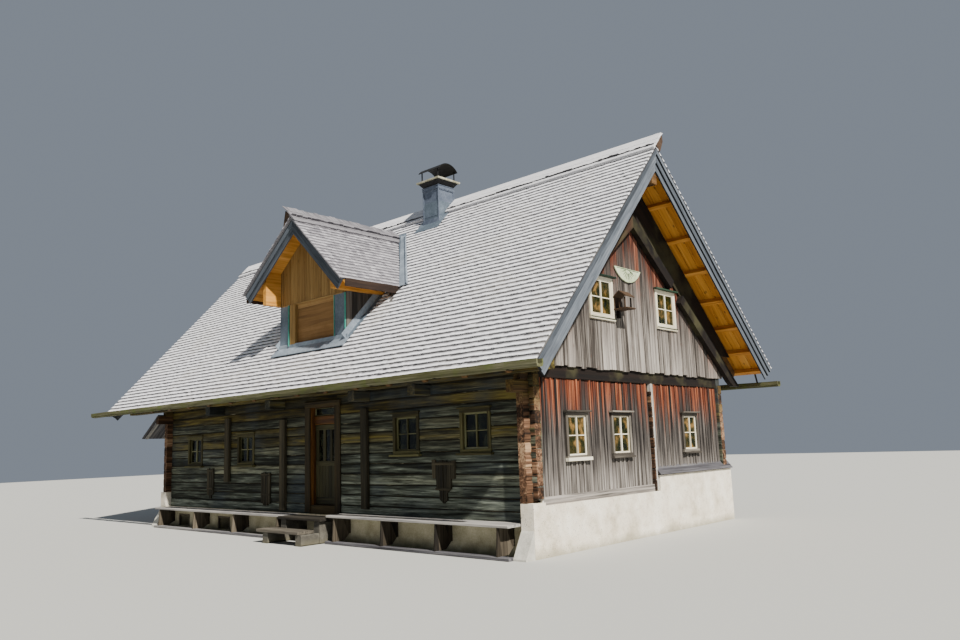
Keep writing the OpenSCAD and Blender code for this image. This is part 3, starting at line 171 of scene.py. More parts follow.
# %% A pile of timber
class Pile:
    """Collects pieces of timber into one mesh, in the frame of the house."""

    def __init__(self, seed):
        self.rnd = random.Random(seed)
        self.points, self.faces, self.grain, self.tone = [], [], [], []

    def put(self, points, faces, local, tone=None):
        """Adds a piece; local gives each point's place within it, for the grain."""
        base = len(self.points)
        shift = Vector([self.rnd.uniform(0, 60) for _ in range(3)])
        tone = self.rnd.random() if tone is None else tone
        self.points += [tuple(p) for p in points]
        self.faces += [tuple(base + i for i in f) for f in faces]
        self.grain += [tuple(Vector(q) + shift) for q in local]
        self.tone += [tone] * len(points)

    def loft(self, rings, local=None, tone=None):
        """Adds a closed piece over rings of points."""
        points = [p for ring in rings for p in ring]
        self.put(points, skin(len(rings[0]), len(rings) - 1), local or points, tone)

    def sweep(self, section, a, b, across, out, n=1, wobble=0.0, foot=None, head=None, tone=None):
        """Sweeps the section (across, out) from a to b; foot and head cut its ends to shape."""
        a, b, across, out = Vector(a), Vector(b), Vector(across), Vector(out)
        length = (b - a).length
        axis = (b - a) / length
        seed = self.rnd.uniform(0, 99)
        rings, local = [], []
        for k in range(n + 1):
            rings.append([])
            for u, v in section:
                s = length * k / n
                if k == 0 and foot:
                    s += foot(u)
                if k == n and head:
                    s -= head(u)
                p = a + axis * s + across * u + out * v
                if wobble:
                    q = Vector((s * 1.3 + seed, u * 4, v * 4))
                    side, rise = noise.noise(q), noise.noise(q + Vector((9, 3, 5)))
                    p += (across * side + out * rise) * wobble
                rings[-1].append(p)
                local.append((s, u, v))
        self.loft(rings, local, tone)

    def board(self, a, b, across, out, w, t, edge=0.003, **more):
        """A board of width w and thickness t with its outer edges eased."""
        h = w / 2
        self.sweep([(-h, 0), (h, 0), (h, t - edge), (h - edge, t), (-h + edge, t), (-h, t - edge)],
                   a, b, across, out, **more)

    def beam(self, a, b, axis="x", edge=0.005, **more):
        """A squared timber between two opposite corners, along an axis, with eased edges."""
        lo, hi = (Vector([pick(*q) for q in zip(a, b)]) for pick in (min, max))
        i = "xyz".index(axis)
        j, k = (i + 1) % 3, (i + 2) % 3
        start, end = (lo + hi) / 2, (lo + hi) / 2
        start[i], end[i] = lo[i], hi[i]
        w, t = (hi[j] - lo[j]) / 2, (hi[k] - lo[k]) / 2
        e = min(edge, w * 0.4, t * 0.4)
        across, out = Vector(), Vector()
        across[j], out[k] = 1, 1
        self.sweep([(w - e, -t), (w, -t + e), (w, t - e), (w - e, t), (-w + e, t), (-w, t - e),
                    (-w, -t + e), (-w + e, -t)], start, end, across, out, **more)

    def mesh_object(self, name, material):
        """The mesh of the pile as an object with its attributes and material."""
        mesh = bpy.data.meshes.new(name)
        mesh.from_pydata([tuple(np.array(p) + SHIFT) for p in self.points], [], self.faces)
        for key, kind, data, field in (("grain", "FLOAT_VECTOR", self.grain, "vector"),
                                       ("tone", "FLOAT", self.tone, "value")):
            layer = mesh.attributes.new(key, kind, "POINT")
            layer.data.foreach_set(field, np.array(data, np.float32).ravel())
        work = bmesh.new()
        work.from_mesh(mesh)
        bmesh.ops.recalc_face_normals(work, faces=work.faces)
        work.to_mesh(mesh)
        work.free()
        mesh.materials.append(material)
        return link(bpy.data.objects.new(name, mesh))

    def make(self, name, material, node=None, body="house", slot=None):
        """The pile as a piece that rides on a body and stands for a node of the frame."""
        return settle(self.mesh_object(name, material), node, body)


trial = Pile(1)
trial.beam((0, 0, 0), (1, 0.1, 0.1))
print("a beam with eased edges has", len(trial.faces), "faces")

# %% [markdown]
# A finished piece rides on a body of the imported model and hides the node that it stands for.
# Pieces of several finishes are joined first. Boards are never all of one width, so a length is
# cut into uneven pieces.

# %% Settle, join and cut
def settle(obj, node=None, body="house"):
    """Gives a finished piece its body, and hides the node it stands for."""
    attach(obj, body)
    if node:
        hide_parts(node)
    print(obj.name, len(obj.data.polygons), "faces")
    return obj


def join(obj, *others):
    """Joins pieces into one mesh."""
    with bpy.context.temp_override(active_object=obj, object=obj,
                                   selected_editable_objects=[obj, *others]):
        bpy.ops.object.join()
    return obj


def finish_nodes(material, *names):
    """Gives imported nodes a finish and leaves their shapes."""
    for name in names:
        for s in bpy.data.objects[name].material_slots:
            s.material = material


def spread(rnd, start, end, low, high):
    """Cuts a length into pieces of uneven width between low and high."""
    cuts = [start]
    while cuts[-1] < end - high:
        cuts.append(cuts[-1] + rnd.uniform(low, high))
    if end - cuts[-1] < low * 0.7:
        cuts[-1] = end
    else:
        cuts.append(end)
    return list(zip(cuts, cuts[1:]))


print("2 m in uneven boards:", len(spread(random.Random(1), 0, 2, 0.13, 0.23)))

# %% [markdown]
# Weathered larch and pine differ in colour more than in structure: long fibres with dark
# checks and lighter worn ridges between them. The fibres are noise stretched along the piece.
# They are really under 1 mm and are drawn some 6 to 10 mm wide to show at this distance.

# %% Fibres of timber
ACROSS = 70.0


def fibres(tree, source, along, across):
    """Place, place within the piece, moved place, tone of the piece, fine and wide streaks."""
    place = add(tree, "ShaderNodeTexCoord").outputs["Object"]
    if source == "grain":
        local = add(tree, "ShaderNodeAttribute", attribute_name="grain").outputs["Vector"]
        tone = add(tree, "ShaderNodeAttribute", attribute_name="tone").outputs["Fac"]
        vector = add(tree, "ShaderNodeVectorMath", {0: tone, 1: (31, 47, 71), 2: local},
                     operation="MULTIPLY_ADD").outputs[0]
        stretch = (along, across, across)
    else:
        local = vector = place
        stretch = tuple(along if source == c else across for c in "xyz")
        tone = add(tree, "ShaderNodeTexNoise", {"Vector": place, "Scale": 1.7}).outputs[0]
    fine = add(tree, "ShaderNodeMapping", {"Vector": vector, "Scale": stretch})
    fibre = add(tree, "ShaderNodeTexNoise", {"Vector": fine, "Scale": 1.0, "Detail": 5.0,
                                             "Roughness": 0.65, "Distortion": 0.4})
    wide = add(tree, "ShaderNodeMapping", {"Vector": vector,
                                           "Scale": tuple(c * 0.22 for c in stretch)})
    band = add(tree, "ShaderNodeTexNoise", {"Vector": wide, "Scale": 1.0, "Detail": 3.0,
                                            "Distortion": 0.8})
    return place, local, vector, tone, fibre, band


print("dark fibres about", round(1000 / ACROSS / 2), "mm wide")

# %% [markdown]
# One finish function takes the colours and lays on them what years do to timber: it greys where
# the rain reaches it, stains, and darkens in its cracks and knots. It can also paint shade along
# the butts of shingles. A drift of tone from board to board keeps a wall from looking printed.

# %% Finish for timber
def timber(name, shades, across=ACROSS, along=3.0, checks=0.55, rough=0.82, bump=0.5, drift=0.35,
           source="grain", stain=None, fades=(), roofline=None, knots=0.0, lines=None, span=0.21):
    """Timber in the given shades from dark to light.

    fades are (low, high, shades above high) by height, or by height along a roofline (y, slope);
    lines are (near, far, shade, amount) along the piece: painted shade on its butt, and painted
    shadow with some dirt in a strip under the next butt;
    a smaller span makes streaks harder.
    """
    m, tree, surface = new_material(name)
    place, local, vector, tone, fibre, band = fibres(tree, source, along, across)
    mixed = add(tree, "ShaderNodeMath", {0: fibre, 1: band})
    half = add(tree, "ShaderNodeMath", {0: mixed, 1: 0.5}, operation="MULTIPLY")
    shift = add(tree, "ShaderNodeMath", {0: tone, 1: 0.5}, operation="SUBTRACT")
    toned = add(tree, "ShaderNodeMath", {0: shift, 1: drift, 2: half}, operation="MULTIPLY_ADD")
    stops = {"low": 0.51 - span, "high": 0.51 + span}
    colour = add(tree, "ShaderNodeValToRGB", {"Fac": toned}, shades, **stops)
    split = add(tree, "ShaderNodeSeparateXYZ", {0: place})
    height = split.outputs["Z"]
    if roofline:
        off = add(tree, "ShaderNodeMath", {0: split.outputs["Y"], 1: roofline[0]},
                  operation="SUBTRACT")
        off = add(tree, "ShaderNodeMath", {0: off}, operation="ABSOLUTE")
        height = add(tree, "ShaderNodeMath", {0: off, 1: roofline[1], 2: height},
                     operation="MULTIPLY_ADD")
    layers = []
    for near, far, above in fades:
        wide = far - near
        loose = add(tree, "ShaderNodeMath", {0: band, 1: wide * 1.5, 2: height},
                    operation="MULTIPLY_ADD")
        loose = add(tree, "ShaderNodeMath", {0: tone, 1: wide * 1.3, 2: loose},
                    operation="MULTIPLY_ADD")
        rise = add(tree, "ShaderNodeMapRange", {"Value": loose, "From Min": near + wide * 1.4,
                                                "From Max": far + wide * 1.4})
        layers.append((rise, add(tree, "ShaderNodeValToRGB", {"Fac": toned}, above, **stops)))
    # painted shade: lines darken the butt of each piece and a strip under the next butt
    if lines:
        near, far, shade, amount = lines
        start = add(tree, "ShaderNodeSeparateXYZ", {0: local})
        dark = add(tree, "ShaderNodeMapRange", {"Value": start, "From Min": near, "From Max": far,
                                                "To Max": amount})
        edge = add(tree, "ShaderNodeMath", {0: start, 1: 0.004}, operation="LESS_THAN")
        dark = add(tree, "ShaderNodeMath", {0: dark, 1: edge}, operation="MAXIMUM")
        layers.append((dark, rgb(shade)))
    if stain:
        shade, size, amount = stain
        cloud = add(tree, "ShaderNodeTexNoise", {"Vector": place, "Scale": size, "Detail": 4.0})
        spot = add(tree, "ShaderNodeMapRange", {"Value": cloud, "From Min": 0.5, "From Max": 0.68,
                                                "To Max": amount})
        layers.append((spot, rgb(shade)))
    if knots:
        flat = add(tree, "ShaderNodeMapping", {"Vector": vector, "Scale": (3.2, 7.0, 7.0)})
        cell = add(tree, "ShaderNodeTexVoronoi", {"Vector": flat, "Scale": 1.0})
        ring = add(tree, "ShaderNodeMapRange", {"Value": cell, "From Min": 0.05, "From Max": 0.16,
                                                "To Min": knots, "To Max": 0.0})
        layers.append((ring, rgb("4a2208")))
    crack = add(tree, "ShaderNodeMapRange", {"Value": fibre, "From Min": 0.30, "From Max": 0.42,
                                             "To Min": checks, "To Max": 0.0})
    for amount, above in [*layers, (crack, rgb("14110d"))]:
        colour = add(tree, "ShaderNodeMix", {0: amount, 6: colour, 7: above},
                     data_type="RGBA").outputs[2]
    tree.links.new(colour, surface.inputs["Base Color"])
    surface.inputs["Roughness"].default_value = rough
    surface.inputs["Specular IOR Level"].default_value = 0.25
    relief = add(tree, "ShaderNodeBump", {"Height": mixed, "Strength": bump, "Distance": 0.004})
    tree.links.new(relief.outputs[0], surface.inputs["Normal"])
    return m


print("timber finish ready")

# %% [markdown]
# Plaster, stone, sheet metal and iron are dull and cloudy. Rain splashes dirt up a wall to about
# a hand's height, and old lime is pitted.

# %% Finish for plaster, stone and metal
def mineral(name, shades, size=3.0, bump=0.3, rough=0.85, metallic=0.0, foot=None, grit=0.3,
            pits=0.0):
    """Clouds and grit in the given shades; foot is (shade, height) of the dirt."""
    m, tree, surface = new_material(name)
    place = add(tree, "ShaderNodeTexCoord").outputs["Object"]
    cloud = add(tree, "ShaderNodeTexNoise", {"Vector": place, "Scale": size, "Detail": 6.0,
                                             "Roughness": 0.6})
    grains = add(tree, "ShaderNodeTexNoise", {"Vector": place, "Scale": size * 15, "Detail": 3.0})
    both = add(tree, "ShaderNodeMix", {0: grit, 2: cloud, 3: grains})
    colour = add(tree, "ShaderNodeValToRGB", {"Fac": both}, shades).outputs[0]
    if foot:
        shade, tall = foot
        high = add(tree, "ShaderNodeSeparateXYZ", {0: place}).outputs["Z"]
        loose = add(tree, "ShaderNodeMath", {0: cloud, 1: tall * 1.4, 2: high},
                    operation="MULTIPLY_ADD")
        dirt = add(tree, "ShaderNodeMapRange", {"Value": loose, "From Min": tall * 0.7,
                                                "From Max": tall * 1.8, "To Min": 0.85,
                                                "To Max": 0.0})
        colour = add(tree, "ShaderNodeMix", {0: dirt, 6: colour, 7: rgb(shade)},
                     data_type="RGBA").outputs[2]
    if pits:
        hole = add(tree, "ShaderNodeMapRange", {"Value": grains, "From Min": 0.60,
                                                "From Max": 0.68, "To Max": pits})
        colour = add(tree, "ShaderNodeMix", {0: hole, 6: colour, 7: rgb("6a6252")},
                     data_type="RGBA").outputs[2]
    tree.links.new(colour, surface.inputs["Base Color"])
    surface.inputs["Roughness"].default_value = rough
    surface.inputs["Metallic"].default_value = metallic
    relief = add(tree, "ShaderNodeBump", {"Height": both, "Strength": bump, "Distance": 0.01})
    tree.links.new(relief.outputs[0], surface.inputs["Normal"])
    return m


print("mineral finish ready")

# %% [markdown]
# The roof is the largest thing in the picture: about 46 courses of split larch shingles, each
# 133 mm of it showing, gone silver in the weather. Its two slopes are unequal. A place on a
# slope is given by x along the eave, s up the slope and a height above the shingles, so that
# every layer of the roof follows the same few numbers.

# %% Slopes of the roof
RIDGE_Y, RIDGE_Z = 3.430, 7.612
PITCH_F, PITCH_B = math.radians(47.3), math.radians(41.95)
EAVE_F, EAVE_B = -0.725, 8.144
ROOF_X0, ROOF_X1, BARGE_IN = -14.65, 0.73, 0.66
LEN_F = (RIDGE_Y - EAVE_F) / math.cos(PITCH_F)
LEN_B = (EAVE_B - RIDGE_Y) / math.cos(PITCH_B)
EXPOSED, SHINGLE_T = 0.133, 0.060


def slope_frame(front):
    """Origin, across, up and out of a slope."""
    p, eave, way = (PITCH_F, EAVE_F, 1) if front else (PITCH_B, EAVE_B, -1)
    c, s = math.cos(p), math.sin(p)
    return (Vector((0, eave, RIDGE_Z - abs(RIDGE_Y - eave) * math.tan(p))),
            Vector((way, 0, 0)), Vector((0, way * c, s)), Vector((0, -way * s, c)))


def on_slope(front, x, s, h=0.0):
    """The point at x, s up a slope and h above the top of its shingles."""
    o, a, u, n = slope_frame(front)
    return o + Vector((x, 0, 0)) + u * s + n * h


def slope_matrix(front):
    """From (x, s, h) of a slope to the frame of the house."""
    o, a, u, n = slope_frame(front)
    return axes_matrix(a, u, n, o)


def meet_y(z):
    """Where a height lies on the front slope."""
    return RIDGE_Y - (RIDGE_Z - z) / math.tan(PITCH_F)


def under_z(y, d):
    """Height of the lower of both slopes at y, d below the top of the shingles."""
    return min(RIDGE_Z - (RIDGE_Y - y) * math.tan(PITCH_F) - d / math.cos(PITCH_F),
               RIDGE_Z - (y - RIDGE_Y) * math.tan(PITCH_B) - d / math.cos(PITCH_B))


print("slopes", round(LEN_F, 2), round(LEN_B, 2))

# %% [markdown]
# The dormer and the chimney interrupt the front slope. The courses have to leave room for them
# and for the sheet metal of the valleys, so the points of the shingles are worked out
# beforehand: row by row, each row cut into shingles of uneven width.

# %% Dormer, chimney and the courses around them
DORMER_X, DORMER_Z, DORMER_HALF = -6.345, 7.035, 1.225
RUN_L, RUN_R = 1.960, 1.780
PITCH_L, PITCH_R = math.radians(37.4), math.radians(43.5)
CHIMNEY_X, CHIMNEY_Y, CHIMNEY = -5.375, 3.400, 0.520


def dormer_z(x):
    """Height of the top of the dormer's shingles."""
    return DORMER_Z - abs(x - DORMER_X) * math.tan(PITCH_L if x < DORMER_X else PITCH_R)


def clear_front(x, s):
    """Whether a shingle of the front slope is clear of the dormer and the chimney."""
    y = EAVE_F + s * math.cos(PITCH_F)
    reach = CHIMNEY / 2 + 0.03
    if abs(x - CHIMNEY_X) < reach and abs(y - CHIMNEY_Y) < reach:
        return False
    valley = meet_y(dormer_z(x))
    if not -RUN_L - 0.06 < x - DORMER_X < RUN_R + 0.06:
        return True
    if abs(x - DORMER_X) < DORMER_HALF + 0.02 and y > 0.08:
        return y > valley + 0.10
    return not valley - 0.30 < y < valley + 0.10


def clear_back(x, s):
    """Whether a shingle of the back slope is clear of the chimney."""
    return not (abs(-x - CHIMNEY_X) < 0.29 and s > LEN_B - 0.37)


def rows(length, first=0.0, exposed=EXPOSED):
    """Where the courses of a slope begin."""
    n = int((length - first) / exposed)
    return [first + row * (length - first) / n for row in range(n)]


def courses(rnd, starts, x0, x1, keep, low=0.075, high=0.165, uneven=0.006, joint=0.004):
    """Points (x, s) of the shingles of some courses, with their widths."""
    places, widths = [], []
    for s in starts:
        for a, b in spread(rnd, x0, x1, low, high):
            if keep((a + b) / 2, s + 0.07):
                places.append(((a + b) / 2, s + rnd.uniform(-uneven, uneven), 0.0))
                widths.append(b - a - joint)
    return places, widths


print(len(rows(LEN_F)), "and", len(rows(LEN_B)), "courses")

# %% [markdown]
# A split shingle is a thin wedge, thick at its lower end, because those ends throw the dark
# lines of the roof. It is shaped by nodes from a cube, with its head sunk under the next course.

# %% One shingle
TAPER = 0.72


def shingle(tree, length, butt):
    """Adds the wedge to a tree, with the place within it for the grain."""
    cube = add(tree, "GeometryNodeMeshCube", {"Size": (1.0, 1.0, 1.0), "Vertices X": 3})
    here = add(tree, "GeometryNodeInputPosition")
    axes = add(tree, "ShaderNodeSeparateXYZ", {0: here}).outputs
    # y from 0 at the butt to the length; z keeps its top at 0 and thins towards the head
    along = add(tree, "ShaderNodeMath", {0: axes["Y"], 1: 0.5})
    y = add(tree, "ShaderNodeMath", {0: along, 1: length}, operation="MULTIPLY")
    thin = add(tree, "ShaderNodeMath", {0: along, 1: -TAPER, 2: 1.0}, operation="MULTIPLY_ADD")
    deep = add(tree, "ShaderNodeMath", {0: axes["Z"], 1: 0.5}, operation="SUBTRACT")
    z = add(tree, "ShaderNodeMath", {0: deep, 1: butt}, operation="MULTIPLY")
    z = add(tree, "ShaderNodeMath", {0: z, 1: thin}, operation="MULTIPLY")
    sink = add(tree, "ShaderNodeMath", {0: along, 1: -0.030, 2: z}, operation="MULTIPLY_ADD")
    shape = add(tree, "ShaderNodeCombineXYZ", {0: axes["X"], 1: y, 2: sink})
    wedge = add(tree, "GeometryNodeSetPosition", {"Geometry": cube, "Position": shape})
    # the fibres run up the slope
    fibre = add(tree, "ShaderNodeCombineXYZ", {0: y, 1: axes["X"], 2: sink})
    return add(tree, "GeometryNodeStoreNamedAttribute",
               {"Geometry": wedge, "Name": "grain", "Value": fibre},
               data_type="FLOAT_VECTOR", domain="POINT")


print("a head has", round(1 - TAPER, 2), "of the thickness of the butt")

# %% [markdown]
# Every shingle of the roof is one instance of the wedge on a point, so width, tilt and lift
# differ while the tree stays short. Copying a mesh by hand thousands of times would be slower
# and no two runs would agree; the tree has a fixed seed.

# %% Geometry Nodes tree for shingles
def shingle_tree(material):
    """A tree that sets a shingle on each point, turns and lifts it a little, and paints it."""
    tree = bpy.data.node_groups.new("shingle_courses", "GeometryNodeTree")
    for name, kind, value in (("Points", "Geometry", None), ("Length", "Float", 0.21),
                              ("Butt", "Float", 0.024), ("Unevenness", "Float", 0.2),
                              ("Seed", "Int", 7)):
        socket = tree.interface.new_socket(name, in_out="INPUT", socket_type="NodeSocket" + kind)
        if value is not None:
            socket.default_value = value
    tree.interface.new_socket("Shingles", in_out="OUTPUT", socket_type="NodeSocketGeometry")
    given = add(tree, "NodeGroupInput").outputs
    chance = []
    for number, (low, high) in enumerate(((-1.0, 1.0), (0.94, 1.06), (-0.035, 0.02), (-0.03, 0.03),
                                          (-0.014, 0.014), (0.0, 1.0)), 1):
        seed = add(tree, "ShaderNodeMath", {0: given["Seed"], 1: float(number)})
        chance.append(add(tree, "FunctionNodeRandomValue", {2: low, 3: high, 8: seed},
                          data_type="FLOAT").outputs[1])
    width = add(tree, "GeometryNodeInputNamedAttribute", {"Name": "width"}, data_type="FLOAT")
    thick = add(tree, "ShaderNodeMath", {0: chance[0], 1: given["Unevenness"], 2: 1.0},
                operation="MULTIPLY_ADD")
    size = add(tree, "ShaderNodeCombineXYZ", {0: width, 1: chance[1], 2: thick})
    turn = add(tree, "ShaderNodeCombineXYZ", {0: chance[2], 1: chance[3], 2: chance[4]})
    laid = add(tree, "GeometryNodeInstanceOnPoints",
               {"Points": given["Points"], "Rotation": turn, "Scale": size,
                "Instance": shingle(tree, given["Length"], given["Butt"])})
    toned = add(tree, "GeometryNodeStoreNamedAttribute",
                {"Geometry": laid, "Name": "tone", "Value": chance[5]},
                data_type="FLOAT", domain="INSTANCE")
    real = add(tree, "GeometryNodeRealizeInstances", {"Geometry": toned})
    painted = add(tree, "GeometryNodeSetMaterial", {"Geometry": real, "Material": material})
    add(tree, "NodeGroupOutput", {"Shingles": painted})
    return tree


def lay_shingles(tree, name, places, widths, matrix, **values):
    """Runs the tree on the points and returns a plain mesh object in the frame of the model."""
    mesh = bpy.data.meshes.new(name)
    mesh.from_pydata(places, [], [])
    mesh.attributes.new("width", "FLOAT", "POINT").data.foreach_set("value", widths)
    obj = link(bpy.data.objects.new(name + "_points", mesh))
    mod = obj.modifiers.new("courses", "NODES")
    mod.node_group = tree
    for item in tree.interface.items_tree:
        if item.in_out == "INPUT" and item.name in values:
            mod[item.identifier] = values[item.name]
    done = bpy.data.meshes.new_from_object(obj.evaluated_get(bpy.context.evaluated_depsgraph_get()))
    bpy.data.objects.remove(obj)
    done.materials.pop(index=0)
    done.transform(Matrix.Translation(Vector(SHIFT)) @ matrix)
    done.name = name
    return link(bpy.data.objects.new(name, done))


print("shingle tree defined")

# %% [markdown]
# Silver larch: the weather has washed out the brown and left a pale grey with darker streaks.
# Low roughness would look wet; real shingles are dull and slightly furry. A plain layer under
# the courses closes the roof at the verge and the eave.

# %% Shingles of both slopes
# painted shade: the lines darken each butt, and paint shadow, partly dirt, under the next course
larch = timber("larch_shingle_weathered_silver", "c7c6cb e2e2e7 f1f2f7 fdfeff",
               across=90, along=7, checks=0.1, rough=0.88, bump=0.3, drift=0.1,
               stain=("b3aea6", 0.9, 0.2), lines=(0.114, 0.127, "151317", 0.95))
larch_tree = shingle_tree(larch)
rnd = random.Random(41)
x0, x1 = ROOF_X0 - 0.02, ROOF_X1 + 0.02
for front, name, ends, keep in ((True, "shingles_front", (x0, x1), clear_front),
                                (False, "shingles_back", (-x1, -x0), clear_back)):
    length = LEN_F if front else LEN_B
    places, widths = courses(rnd, rows(length), *ends, keep)
    roof = lay_shingles(larch_tree, name + "_courses", places, widths, slope_matrix(front), Seed=11)
    under = Pile(3)
    under.loft([[on_slope(front, x, s, -d) for s, d in ((0.012, 0.026), (0.012, SHINGLE_T),
                                                        (length, SHINGLE_T), (length, 0.026))]
                for x in (x0 + 0.012, x1 - 0.012)])
    settle(join(roof, under.mesh_object(name + "_base", larch)), name)
    print(name, len(places), "shingles")

# %% [markdown]
# The ridge is closed by a capping course: shingles laid over the ridge so that they point to the
# weather side and stand up past the other slope. The dormer has the same, on a smaller scale.

# %% Capping of a ridge
def slab(pile, matrix, local):
    """A piece between two outlines of four points, given in the frame of a slope."""
    points = [matrix @ Vector(q) for q in local]
    pile.loft([points[:4], points[4:]], local)


def capping(name, tree, finish, matrix, length, x0, x1, down, past, t, gap, seed):
    """Two rows of shingles up to the ridge and one that stands up past it."""
    places, widths = courses(random.Random(seed), (-down, -down + 0.14, 0.16), x0, x1,
                             lambda x, s: not (gap and gap[0] < x < gap[1]), 0.07, 0.13, 0.008,
                             0.003)
    obj = lay_shingles(tree, name + "_rows", places, widths,
                       matrix @ Matrix.Translation((0, length, t - 0.012)), Length=0.25,
                       Butt=0.018, Unevenness=0.3, Seed=seed)
    base = Pile(seed)
    s0, s1, h = length - down + 0.015, length + past - 0.015, t - 0.016
    for a, b in ([(x0, gap[0]), (gap[1], x1)] if gap else [(x0, x1)]):
        slab(base, matrix, [(x, *q) for x in (a + 0.01, b - 0.01)
                            for q in ((s0, 0.0), (s0, h), (s1, h), (s1, 0.0))])
    return join(obj, base.mesh_object(name + "_base", finish))


larch_cap = timber("larch_shingle_silver_long", "a2a3a8 bfc0c4 d2d2d5 e4e3e4",
                   across=90, along=7, checks=0.1, rough=0.88, bump=0.3, drift=0.12)
reach = CHIMNEY / 2 + 0.03
settle(capping("ridge_cap", shingle_tree(larch_cap), larch_cap, slope_matrix(True), LEN_F,
               ROOF_X0 - 0.02, 0.77, 0.140, 0.408, 0.060,
               (CHIMNEY_X - reach, CHIMNEY_X + reach), 5), "ridge_cap")

# %% [markdown]
# The dormer's shingles are greyer, because they stay damp longer. They are made as those of the
# roof, in a frame of their own on each side, and stop at the valley. A plain layer below them is
# cut along the valley.

# %% The dormer's shingles
# painted shade: the lines darken each butt and a strip under the next course
grey_larch = timber("larch_shingle_damp_grey", "737178 929095 a8a6ab bfbdc2", across=90, along=7,
                    checks=0.2, rough=0.9, bump=0.4, drift=0.3, lines=(0.112, 0.126, "2a282e", 0.6))
grey_tree = shingle_tree(grey_larch)
DORMER_Y0 = -0.315
SIDES = {-1: (RUN_L, PITCH_L), 1: (RUN_R, PITCH_R)}


def dormer_matrix(side):
    """x along the dormer's eave, s up its slope, d outwards, from the foot of the slope."""
    run, p = SIDES[side]
    return axes_matrix((0, side, 0), (-side * math.cos(p), 0, math.sin(p)),
                       (side * math.sin(p), 0, math.cos(p)),
                       (DORMER_X + side * run, 0, DORMER_Z - run * math.tan(p)))


parts = []
for side, (run, p) in SIDES.items():
    length = run / math.cos(p)
    matrix = dormer_matrix(side)

    def valley(s):
        return meet_y(dormer_z(DORMER_X + side * (run - s * math.cos(p))))

    places, widths = courses(
        random.Random(62 if side < 0 else 61), rows(length, -0.02, 0.125),
        *sorted((side * DORMER_Y0, side * 3.0)),
        lambda x, s: DORMER_Y0 < side * x < valley(s) + 0.02)
    parts.append(lay_shingles(grey_tree, "dormer_courses", places, widths, matrix,
                              Seed=24 if side < 0 else 23))
    layer = Pile(9)
    slab(layer, matrix, [(side * y, s, h) for s in (0.0, length - 0.001)
                         for y, h in ((DORMER_Y0 + 0.01, -0.052), (DORMER_Y0 + 0.01, -0.022),
                                      (valley(s) - 0.01, -0.022), (valley(s) - 0.01, -0.052))])
    parts.append(layer.mesh_object("dormer_layer", grey_larch))
parts.append(capping("dormer_cap", grey_tree, grey_larch, dormer_matrix(1),
                     RUN_R / math.cos(PITCH_R), DORMER_Y0 - 0.01, meet_y(DORMER_Z) + 0.10,
                     0.250, 0.220, 0.040, None, 8))
settle(join(*parts), "dormer_shingles")

# %% [markdown]
# The barge boards close the ends of the roof: three boards, one over the other like steps, once
# painted a grey blue that has gone chalky. Only the gable's ends carry them, in full length.
# Their undersides are painted near black, as shade on the faces that look down.

# %% Barge boards of the main roof
blue = timber("spruce_board_old_blue_grey_paint", "2d3238 444a52 5a616a 71777f", across=60,
              along=2.5, checks=0.35, rough=0.7, bump=0.3, drift=0.3, stain=("4a4f57", 2.2, 0.5))
barge_underside_painted_shade = timber("barge_underside_painted_black_shade", "08090a 101113 1a1c1f 26292d",
                   across=60, along=2.5, checks=0.3, rough=0.9, bump=0.3)
STEPS, STEP_T, BARGE_CUTS = 3, 0.030, 12


def apex_of(d):
    """y and z where two layers at one depth meet at the ridge."""
    y = RIDGE_Y + d * (1 / math.cos(PITCH_F) - 1 / math.cos(PITCH_B)) / (
        math.tan(PITCH_F) + math.tan(PITCH_B))
    return y, RIDGE_Z - (RIDGE_Y - y) * math.tan(PITCH_F) - d / math.cos(PITCH_F)


def barge(pile, front, x0, x1, s0, d0, d1):
    """One length of barge board between two depths, mitred at the ridge, eased at its edge."""
    rings, local = [], []
    run = LEN_F if front else LEN_B
    for k in range(BARGE_CUTS + 1):
        t = k / BARGE_CUTS
        wave = 0.002 * math.sin(t * 29 + d0 * 40)
        rings.append([])
        for d, x in ((d0, x0), (d0, x1), (d1, x1), (d1, x0)):
            foot, tip = on_slope(front, 0, s0, -d), apex_of(d)
            rings[-1].append((x + (wave if x == max(x0, x1, key=abs) else 0),
                              foot.y + (tip[0] - foot.y) * t, foot.z + (tip[1] - foot.z) * t))
            local.append((t * run, d - d0, x))
    pile.loft(rings, local)


pile = Pile(14)
for side, x in ((1, BARGE_IN), (-1, ROOF_X0 + 0.030)):
    for i in range(STEPS):
        for front in (True, False):
            low = (STEPS - 1 - i) * 0.004
            barge(pile, front, x + side * i * STEP_T, x + side * (i + 1) * STEP_T, low,
                  SHINGLE_T + 0.0003 + low, SHINGLE_T + (2.5 - i * 0.95) * 0.125)
boards = pile.make("barge_boards_stepped", blue, "barge_boards")
boards.data.materials.append(barge_underside_painted_shade)
# painted shade: every face of the barge boards that looks down gets the near-black finish
for face in boards.data.polygons:
    face.material_index = int(face.normal.z < -0.3)

# %% [markdown]
# Under the overhang the roof is lined with new pine boards that run from the eave to the ridge
# and have turned golden in the shade. Each board is its own piece with knots, because the lit
# soffit is the brightest colour of the gable.

